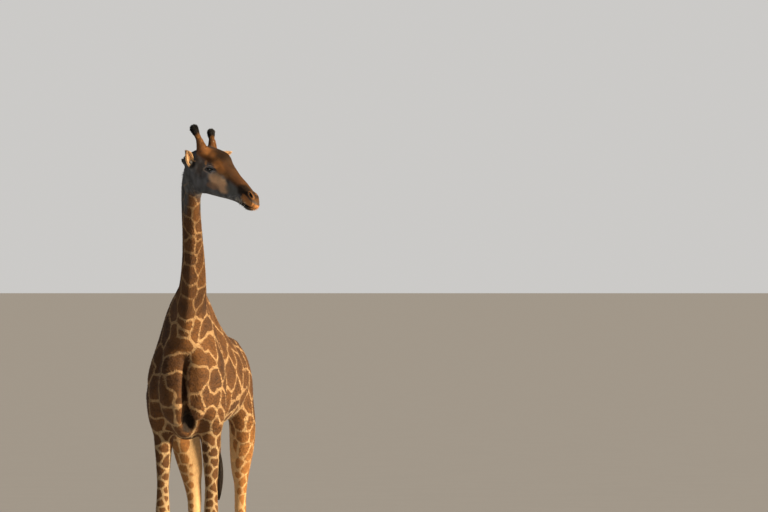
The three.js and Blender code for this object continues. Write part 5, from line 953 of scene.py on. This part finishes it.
# horns: skin-covered, waisted, knobbed
def rings_mesh(rings):
    R = np.array(rings); m, k = R.shape[:2]; verts = R.reshape(-1, 3); F = []
    i, j = np.meshgrid(np.arange(m - 1), np.arange(k), indexing='ij'); i, j = i.ravel(), j.ravel(); j2 = (j + 1) % k
    F = np.stack([i * k + j, i * k + j2, (i + 1) * k + j2, (i + 1) * k + j], 1); return verts, F
M_HORN = pelt('horn_skin', True)
HL_ = np.linalg.norm(HORN_TIP - HORN_BASE); HUp = nrm(np.cross(horn_axis, [0, 1, 0])); HW_ = np.cross(horn_axis, HUp)
for s, sd_ in ((1, 'left'), (-1, 'right')):
    ln = HL_ + (-40 if s > 0 else -16); flip = np.array([1, s, 1.])
    prof = np.array([(-6, 36), (10, 33.5), (26, HORN_R + .2), (46, HORN_R - 2.2), (ln * .45, HORN_WAIST - .6), (ln * .66, HORN_WAIST - 1.6), (ln * .78, HORN_WAIST + 2), (ln * .87, HORN_KNOB - 5.5), (ln * .95, HORN_KNOB - 3),
        (ln * 1.02, HORN_KNOB - 7), (ln * 1.065, HORN_KNOB - 15), (ln * 1.08, 6), (ln * 1.081, .4)])
    pr = spline(prof, 5); rings_ = []; K = 40
    for a, rad_ in pr:
        t = np.arange(K) / K * 2 * np.pi; c = HORN_BASE + horn_axis * a
        lump = 1 + .03 * np.sin(3 * t + a / 17) + .02 * np.sin(7 * t - a / 9)
        q = c + HUp * (rad_ * np.cos(t) * lump)[:, None] + HW_ * (rad_ * np.sin(t) * .94 * lump)[:, None]; rings_.append(q * flip)
    vv, ff = rings_mesh(rings_)
    if s < 0: ff = ff[:, ::-1]
    hz = np.repeat(pr[:, 0], K) / ln; wv = to_world(vv)
    cn = np.cross(wv[ff[:, 2]] - wv[ff[:, 0]], wv[ff[:, 3]] - wv[ff[:, 1]]); mid = wv[ff].mean(1) - to_world((HORN_BASE + horn_axis * ln * .5) * flip)
    if ((cn * mid).sum() < 0): ff = ff[:, ::-1]
    n1h = wave(wv, 22, 71); col = mixc(np.repeat(lin(112, 74, 34)[None], len(hz), 0), lin(154, 104, 48), .5 + .5 * n1h)
    backs = step(-((vv - (HORN_BASE + horn_axis * 60) * flip) @ HUp), -8, 22) if HUp[0] > 0 else step(((vv - (HORN_BASE + horn_axis * 60) * flip) @ HUp), -8, 22)
    col = mixc(col, lin(60, 42, 30), backs * .6); col = mixc(col, lin(18, 14, 13), step(hz + .03 * n1h, .64, .76))
    uvh = np.stack([np.tile(np.arange(K) / K, len(pr)), np.repeat(pr[:, 0], K)], 1); L_ = ff.reshape(-1); u = uvh[L_, 0].reshape(-1, 4); u = np.where(u < u.max(1, keepdims=True) - .5, u + 1, u).reshape(-1)
    UVH = np.stack([.02 + .9 * u, .02 + .96 * (uvh[L_, 1] + 6) / (ln * 1.081 + 6)], 1)
    nv = len(hz); ob = mesh_of(f'horn_{sd_}', wv, ff, dict(rel=np.full(nv, 60.), patch=col, line=col, shade=np.full(nv, .95)), dict(OFBake=UVH), material=M_HORN)
    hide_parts(f"ossicone_{sd_}"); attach(ob, "root")
    # hair on it: short up the shaft, a black brush round the knob
    nrm_ = normals(wv, ff); r = np.random.default_rng(80 + s); k = 4000; fi = r.integers(0, len(ff), k * 3); u, v = r.random(k * 3), r.random(k * 3)
    hzf = hz[ff[:, 0]][fi]; keep = (hzf > -.02) & (hzf < 1.075); fi, u, v, hzf = fi[keep][:k], u[keep][:k], v[keep][:k], hzf[keep][:k]; k = len(fi)
    bb = np.stack([(1 - u) * (1 - v), u * (1 - v), u * v, (1 - u) * v], 1); g2 = lambda A: np.einsum('ij,ij...->i...', bb, A[ff[fi]])
    p, n_, cl = g2(wv), g2(nrm_), g2(col); n_ /= np.linalg.norm(n_, axis=1, keepdims=True); ax_ = (horn_axis * flip) @ HM; D = np.repeat(ax_[None], k, 0) + n_ * (.0 + .35 * step(hzf, .7, .85))[:, None]
    D = D - n_ * (D * n_).sum(1, keepdims=True) * (1 - .6 * step(hzf, .7, .85))[:, None] * .9; D += r.normal(0, .12, (k, 3)); D /= np.linalg.norm(D, axis=1, keepdims=True)
    tip_ = step(hzf, .68, .82) * (1. if s > 0 else 1.6); n2_ = n_ - D * (n_ * D).sum(1, keepdims=True) * .5
    UVr = UVH.reshape(-1, 4, 2)[fi].mean(1)
    tufts(f'horn_hair_{sd_}', dark_roots(p, n2_, cl, 82 + s, UVr), D, (8 + 7 * tip_) * (1 + r.normal(0, .2, k)), 2.0 + .8 * tip_, .9, 1.2 + 1.2 * tip_, .5, sink=1.2)
log('horns')

# tail's brush
TUFT = np.array([[-8.5, 1565, 1475, 15], [-9, 1563, 1430, 24], [-10, 1561, 1370, 33], [-11, 1558, 1290, 36], [-12, 1555, 1210, 30], [-13, 1552, 1140, 19], [-14, 1551, 1090, 7]], float)
TS = spline(TUFT, 6); r = np.random.default_rng(91); k = 2000; m = 6
z0 = 1500 - 190 * r.random(k) ** 1.6; ln = np.minimum(170 + 220 * r.random(k), z0 - 1096); ph = 2 * np.pi * r.random(k); rr = .25 + .72 * r.random(k) ** .5
VVs = []
for j in range(m):
    t = j / (m - 1); z = z0 - ln * t; f = lambda col: np.interp(-z, -TS[:, 2], TS[:, col]); rad_ = f(3) * rr * (1 if j else .55); a = ph + .5 * t * np.sin(ph * 3)
    cx = np.stack([f(0) + rad_ * np.cos(a), f(1) + rad_ * .9 * np.sin(a), z], 1); VVs.append(cx)
VVs = np.stack(VVs, 1); wd = 1.9; verts = []; tang = np.gradient(VVs, axis=1); tang /= np.linalg.norm(tang, axis=2, keepdims=True); out_ = np.stack([np.cos(ph), np.sin(ph), 0 * ph], 1)[:, None]; sd3 = np.cross(tang, out_); sd3 /= np.linalg.norm(sd3, axis=2, keepdims=True)
for j in range(m - 1):
    w = wd * (1 - .5 * j / m); verts += [VVs[:, j] - sd3[:, j] * w, VVs[:, j] + sd3[:, j] * w, VVs[:, j] + out_[:, 0] * w]
verts.append(VVs[:, -1]); mm = (m - 1) * 3 + 1; VV = np.stack(verts, 1).reshape(-1, 3); fs = [[0, 2, 1]]
for i in range(m - 2):
    a = i * 3; b_ = a + 3
    for x, y in ((0, 1), (1, 2), (2, 0)): fs += [[a + x, a + y, b_ + y], [a + x, b_ + y, b_ + x]]
a = (m - 2) * 3; fs += [[a, a + 1, mm - 1], [a + 1, a + 2, mm - 1], [a + 2, a, mm - 1]]
FF = (np.arange(k)[:, None, None] * mm + np.array(fs)[None]).reshape(-1, 3); uv0 = spread_uv(k, 92); ang = np.linspace(0, 2 * np.pi, mm, endpoint=False)
uvv = (uv0[:, None] + (np.stack([np.cos(ang), np.sin(ang)], 1) * .0013)[None]).reshape(-1, 2)
c_ = np.repeat(mixc(np.repeat(lin(24, 19, 17)[None], k, 0), lin(52, 38, 28), r.random(k) ** 2), mm, 0)
ob = mesh_of('tail_brush', VV, FF, dict(rel=np.full(len(VV), 60.), patch=c_, line=c_, shade=np.tile(1 + 0 * ang, k)), dict(OFBake=uvv[FF.reshape(-1)]), material=M_FUR)
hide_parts("tail_tuft"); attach(ob, "root")

# lashes, brow hairs, whiskers
pp, dd, nn, cc, ll = [], [], [], [], []
r = np.random.default_rng(95)
for s in (1, -1):
    flip = np.array([1, s, 1.])
    k = 90; t = np.linspace(-1, 1, k) + r.normal(0, .02, k); q = EYE + np.stack([t * 30 + 1, 30.5 - 11 * t * t + 0 * t, 12.5 - 10.5 * t * t + 9.5 * t], 1)
    d = np.stack([.35 * t + .1, np.full(k, 1.), .12 - .1 * np.abs(t)], 1); pp.append(q * flip); dd.append(d * flip); cc.append(np.repeat(lin(14, 11, 10)[None], k, 0)); ll.append(15 + 5 * (1 - t * t) + r.normal(0, 1.5, k))
    k = 40; t = np.linspace(-1, 1, k); q = EYE + np.stack([t * 27 + 3, 28 - 9 * t * t, -14 + 8 * t * t + 9 * t], 1); d = np.stack([.3 * t, np.full(k, 1.), np.full(k, -.25)], 1)
    pp.append(q * flip); dd.append(d * flip); cc.append(np.repeat(lin(20, 16, 14)[None], k, 0)); ll.append(7 + r.normal(0, 1, k))
    # whiskers of the mouth and chin
    k = 150; x = 520 + 180 * r.random(k); z = -128 - (x - 600) * .03 + r.normal(0, 9, k); ids = []
    for c0, cnt, col_, le in (((575, 48, -118), 120, lin(250, 244, 232), 21), ((640, 38, -160), 90, lin(120, 112, 100), 13), ((700, 24, -155), 70, lin(214, 170, 120), 11)):
        c0 = np.array(c0, float); q0 = to_world((c0 + r.normal(0, 1, (cnt, 3)) * [34, 8, 10]) * flip)
        hdv = np.flatnonzero((PART_V == 2) & (np.linalg.norm(H - c0 * flip, axis=1) < 130)); near_ = [hdv[((V[hdv] - q) ** 2).sum(1).argmin()] for q in q0]
        pp.append(to_head(V[near_])); d = N[near_] @ HM.T; d = d + np.array([.15, 0, -.55]); dd.append(d); cc.append(np.repeat(col_[None], cnt, 0)); ll.append(le * (1 + r.normal(0, .25, cnt)))
p = to_world(np.vstack(pp)); D = np.vstack(dd) @ HM; cl = np.vstack(cc); ln = np.concatenate(ll); D /= np.linalg.norm(D, axis=1, keepdims=True)
n_ = np.repeat(HU[None], len(p), 0); n_ = n_ - D * (n_ * D).sum(1, keepdims=True); n_ /= np.linalg.norm(n_, axis=1, keepdims=True)
lashm = np.concatenate([np.full(len(x), i) for i, x in enumerate(ll)])
tufts('lashes_whiskers', dark_roots(p, n_, cl, 97, spread_uv(len(p), 98)), D, ln, np.array([1.3, .9, 2.2, 1.5, 1.2])[lashm % 5], .7, .4, -1.5, sink=1.)
log('small hair')

# ------------------------------------------------------------------ eyes
def eye_mat():
    n = Nodes('eye'); co = n.coord(); gx_, gy_ = n.attr('across'), n.attr('up')
    rr = n.math('SQRT', n.math('ADD', n.math('MULTIPLY', gx_, gx_), n.math('MULTIPLY', gy_, gy_)))
    pr = n.math('SQRT', n.math('ADD', n.math('MULTIPLY', n.math('MULTIPLY', gx_, .62), n.math('MULTIPLY', gx_, .62)), n.math('MULTIPLY', n.math('MULTIPLY', gy_, 1.35), n.math('MULTIPLY', gy_, 1.35))))
    fib = n.noise(co, 900., 3.); iris = n.mix((.0025, .0013, .0008), (.007, .0035, .0018), fib)
    c = n.mix(iris, (.003, .002, .0016), n.ramp(rr, .62, .72)); c = n.mix((.002, .002, .002), c, n.ramp(pr, .26, .34)); c = n.mix(c, (.012, .009, .008), n.ramp(rr, .9, 1.))
    n.put(n.b.inputs['Base Color'], c); n.put(n.b.inputs['Roughness'], n.ramp(fib, .2, .8, .07, .12)); n.b.inputs['Specular IOR Level'].default_value = .06; n.b.inputs['Coat Weight'].default_value = 1.; n.b.inputs['Coat Roughness'].default_value = .08; n.b.inputs['Coat IOR'].default_value = 1.45
    n.put(n.b.inputs['Normal'], n.bump(n.noise(co, 300., 1.), .02, .0005)); return n.m
M_EYE = eye_mat()
for s, sd_ in ((1, 'left'), (-1, 'right')):
    gz = nrm([.22, 1, -.06]) * [1, s, 1]; ux = nrm(np.cross([0, 0, 1], gz)); uy = np.cross(gz, ux); K, Mr = 56, 36; rings_ = []; ac, upv = [], []
    for i in range(Mr + 1):
        th = math.pi * (.002 + .996 * i / Mr); ph = np.arange(K) / K * 2 * np.pi; st, ct_ = math.sin(th), math.cos(th)
        rad_ = EYE_R * (.985 + .035 * math.exp(-(th / .62) ** 2)); q = EYE * [1, s, 1] + gz * (rad_ * ct_) + ux * (rad_ * st * np.cos(ph))[:, None] + uy * (rad_ * st * np.sin(ph))[:, None]
        rings_.append(to_world(q)); ac.append(st * np.cos(ph) if ct_ > 0 else 2 * np.cos(ph)); upv.append(st * np.sin(ph) if ct_ > 0 else 2 * np.sin(ph))
    vv, ff = rings_mesh(rings_); cn = np.cross(vv[ff[:, 2]] - vv[ff[:, 0]], vv[ff[:, 3]] - vv[ff[:, 1]]); mid = vv[ff].mean(1) - to_world(EYE * [1, s, 1])
    if (cn * mid).sum() < 0: ff = ff[:, ::-1]
    A_ = np.concatenate(ac); B_ = np.concatenate(upv); uvq = np.stack([.5 + .23 * np.clip(A_, -2, 2), .5 + .23 * np.clip(B_, -2, 2)], 1)[ff.reshape(-1)]
    ob = mesh_of(f'eyeball_{sd_}', vv, ff, dict(across=A_, up=B_), dict(OFBake=uvq), material=M_EYE)
    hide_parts(f"eye_{sd_}"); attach(ob, "root")

# ------------------------------------------------------------------ hooves
def hoof_mat():
    n = Nodes('hoof'); co = n.coord(); ring_ = n.math('SINE', n.math('ADD', n.math('MULTIPLY', n.attr('grow'), 150.), n.math('MULTIPLY', n.noise(co, 30., 2.), 4.)))
    st = n.noise(n.scaled(co, 90, 90, 8), 1., 3.); c = n.mix((.030, .021, .015), (.095, .068, .046), st); c = n.mix(c, (.16, .125, .09), n.math('MULTIPLY', n.ramp(n.attr('grow'), .25, -.0), .55)); c = n.mix(c, (.02, .016, .013), n.math('MULTIPLY', n.ramp(n.noise(co, 18., 3.), .5, .7), .5))
    n.put(n.b.inputs['Base Color'], c); n.put(n.b.inputs['Roughness'], n.ramp(st, .3, .7, .38, .62)); n.put(n.b.inputs['Normal'], n.bump(n.math('ADD', n.math('MULTIPLY', ring_, .35), st), .5, .0016)); return n.m
M_HOOF = hoof_mat()
for side_n, s in (('left', 1), ('right', -1)):
    for hind in (False, True):
        for inner in (False, True):
            ln, wide, a = (218, 60, HIND_TURN) if hind else (252, 68, 4); a = math.radians(a) * -s; cx, cy = s * (HIND_X if hind else FORE_X), 1322 if hind else 6; sg = (-1 if inner else 1) * s
            rows_ = spline([(0, 1, 0, 1), (14, .995, 1, 1), (58, .86, 9, .96), (112, .66, 20, .9)], 8); rings_ = []; K = 56; grow = []
            t = np.arange(K) / K * 2 * np.pi; al_, acr = -np.cos(t), np.sin(t)
            def claw(z, kk, back, kw, shrink=.6):
                y = al_ * (ln * .5 * kk - shrink) + back; x = np.sign(acr) * np.abs(acr) ** .75 * (wide * .5 * kw - shrink); x = np.where(al_ < 0, x * (1 - .25 * al_ * al_), x); x = np.maximum(x, -(wide * .5 * kw - shrink) * .84)
                x = sg * (x + wide * .42 + 1.6); return np.stack([cx + x * math.cos(-a) - y * math.sin(-a), cy + x * math.sin(-a) + y * math.cos(-a), np.full(K, z)], 1)
            r0 = claw(0, 1, 0, 1, 2.2); cen = r0.mean(0)
            for f_ in (.001, .5, 1.): rings_.append(cen + (r0 - cen) * f_); grow.append(np.zeros(K))
            for j, (z, kk, back, kw) in enumerate(rows_): rings_.append(claw(max(z, 2.2 if j == 0 else z), kk, back, kw, .5 + .35 * math.sin(z / 3.1))); grow.append(np.full(K, z / 112))
            for dz, f_ in ((4, .9), (5, .5), (5, .001)): e_ = claw(112, .66, 20, .9); c2 = e_.mean(0); rings_.append(c2 + (e_ - c2) * f_ + [0, 0, dz]); grow.append(np.ones(K))
            vv, ff = rings_mesh(rings_); cn = np.cross(vv[ff[:, 2]] - vv[ff[:, 0]], vv[ff[:, 3]] - vv[ff[:, 1]]); mid = vv[ff].mean(1) - vv.mean(0)
            if (cn * mid).sum() < 0: ff = ff[:, ::-1]
            m_ = len(rings_); uu = np.tile(np.arange(K) / K, m_); vv_ = np.repeat(np.arange(m_) / (m_ - 1), K); L_ = ff.reshape(-1); u = uu[L_].reshape(-1, 4); u = np.where(u < u.max(1, keepdims=True) - .5, u + 1, u).reshape(-1)
            nm_ = f"hoof_{'hind' if hind else 'fore'}_{side_n}_{'inner' if inner else 'outer'}"
            ob = mesh_of('claw_' + nm_[5:], vv, ff, dict(grow=np.concatenate(grow)), dict(OFBake=np.stack([.02 + .9 * u, .02 + .96 * vv_[L_]], 1)), material=M_HOOF)
            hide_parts(nm_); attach(ob, "root")
log('hooves')

# ------------------------------------------------------------------ floor, light, camera
sh = SHIFT / 1000
n = Nodes('floor'); co = n.coord(); f_ = n.noise(co, .9, 4.)
n.put(n.b.inputs['Base Color'], n.mix((.66, .69, .735), (.70, .73, .775), f_)); n.put(n.b.inputs['Roughness'], n.ramp(n.noise(co, 7., 3.), .3, .7, .8, .92)); n.put(n.b.inputs['Normal'], n.bump(n.noise(co, 60., 3.), .08, .002))
me = bpy.data.meshes.new('floor'); B_ = 20000.; me.from_pydata([(-B_, -B_, -.0005), (B_, -B_, -.0005), (B_, B_, -.0005), (-B_, B_, -.0005)], [], [(0, 1, 2, 3)]); me.materials.append(n.m)
floor = bpy.data.objects.new('floor', me); bpy.context.scene.collection.objects.link(floor)
w = bpy.data.worlds.new('studio'); w.use_nodes = True; bpy.context.scene.world = w; nt = w.node_tree; nt.nodes.clear()
o = nt.nodes.new('ShaderNodeOutputWorld'); b1 = nt.nodes.new('ShaderNodeBackground'); b2 = nt.nodes.new('ShaderNodeBackground'); mx = nt.nodes.new('ShaderNodeMixShader'); lp = nt.nodes.new('ShaderNodeLightPath')
b1.inputs[0].default_value = (.52, .62, .80, 1); b1.inputs[1].default_value = .12; b2.inputs[0].default_value = (.60, .59, .575, 1); b2.inputs[1].default_value = 1.
nt.links.new(lp.outputs['Is Camera Ray'], mx.inputs[0]); nt.links.new(b1.outputs[0], mx.inputs[1]); nt.links.new(b2.outputs[0], mx.inputs[2]); nt.links.new(mx.outputs[0], o.inputs[0])
sun = bpy.data.lights.new('key', 'SUN'); sun.energy = 6.5; sun.angle = math.radians(9); sun.color = (1., .78, .51)
so = bpy.data.objects.new('key', sun); bpy.context.scene.collection.objects.link(so)
from mathutils import Vector
ka, ke = math.radians(67), math.radians(13)               # round from the viewer's side, and up
key_dir = (CAM_R * math.sin(ka) - CAM_F0 * math.cos(ka)) * math.cos(ke) + np.array([0, 0, math.sin(ke)])
so.rotation_euler = (-Vector(key_dir)).to_track_quat('-Z', 'Y').to_euler(); so.location = tuple(key_dir * 8 + sh)
eye_n = (-HL * .9 + HF * .3 + HU * .12); eye_n /= np.linalg.norm(eye_n); to_cam = -CAM_F; refl = 2 * (eye_n @ to_cam) * eye_n - to_cam; refl /= np.linalg.norm(refl)
cl = bpy.data.lights.new('catch', 'SPOT'); cl.spot_size = math.radians(1.); cl.spot_blend = 1.; cl.shadow_soft_size = .03; cl.energy = 8000; cl.color = (1., 1., 1.)
clo = bpy.data.objects.new('catch', cl); bpy.context.scene.collection.objects.link(clo); cp = to_world(EYE * [1, -1, 1]) / 1000 + sh + refl * 6; clo.visible_diffuse = False; clo.visible_camera = False
clo.location = tuple(cp); clo.rotation_euler = (-Vector(refl)).to_track_quat('-Z', 'Y').to_euler()
cam = bpy.data.cameras.new('camera'); cam.lens = 400; cam.sensor_width = 36; cam.sensor_fit = 'HORIZONTAL'; cam.clip_start = 1; cam.clip_end = 60000; cam.dof.use_dof = False
co_ = bpy.data.objects.new('camera', cam); co_.location = tuple(CAM_P / 1000 + sh); co_.rotation_euler = (math.radians(90 + .2417), 0, PSI); bpy.context.scene.collection.objects.link(co_); bpy.context.scene.camera = co_
sc = bpy.context.scene; sc.view_settings.view_transform = 'Standard'; sc.view_settings.look = 'None'; sc.view_settings.exposure = 0; sc.view_settings.gamma = 1

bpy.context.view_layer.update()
log('triangles', sum(len(o.data.loops) - 2 * len(o.data.polygons) for o in bpy.data.objects if o.type == 'MESH' and o.name != 'floor'))
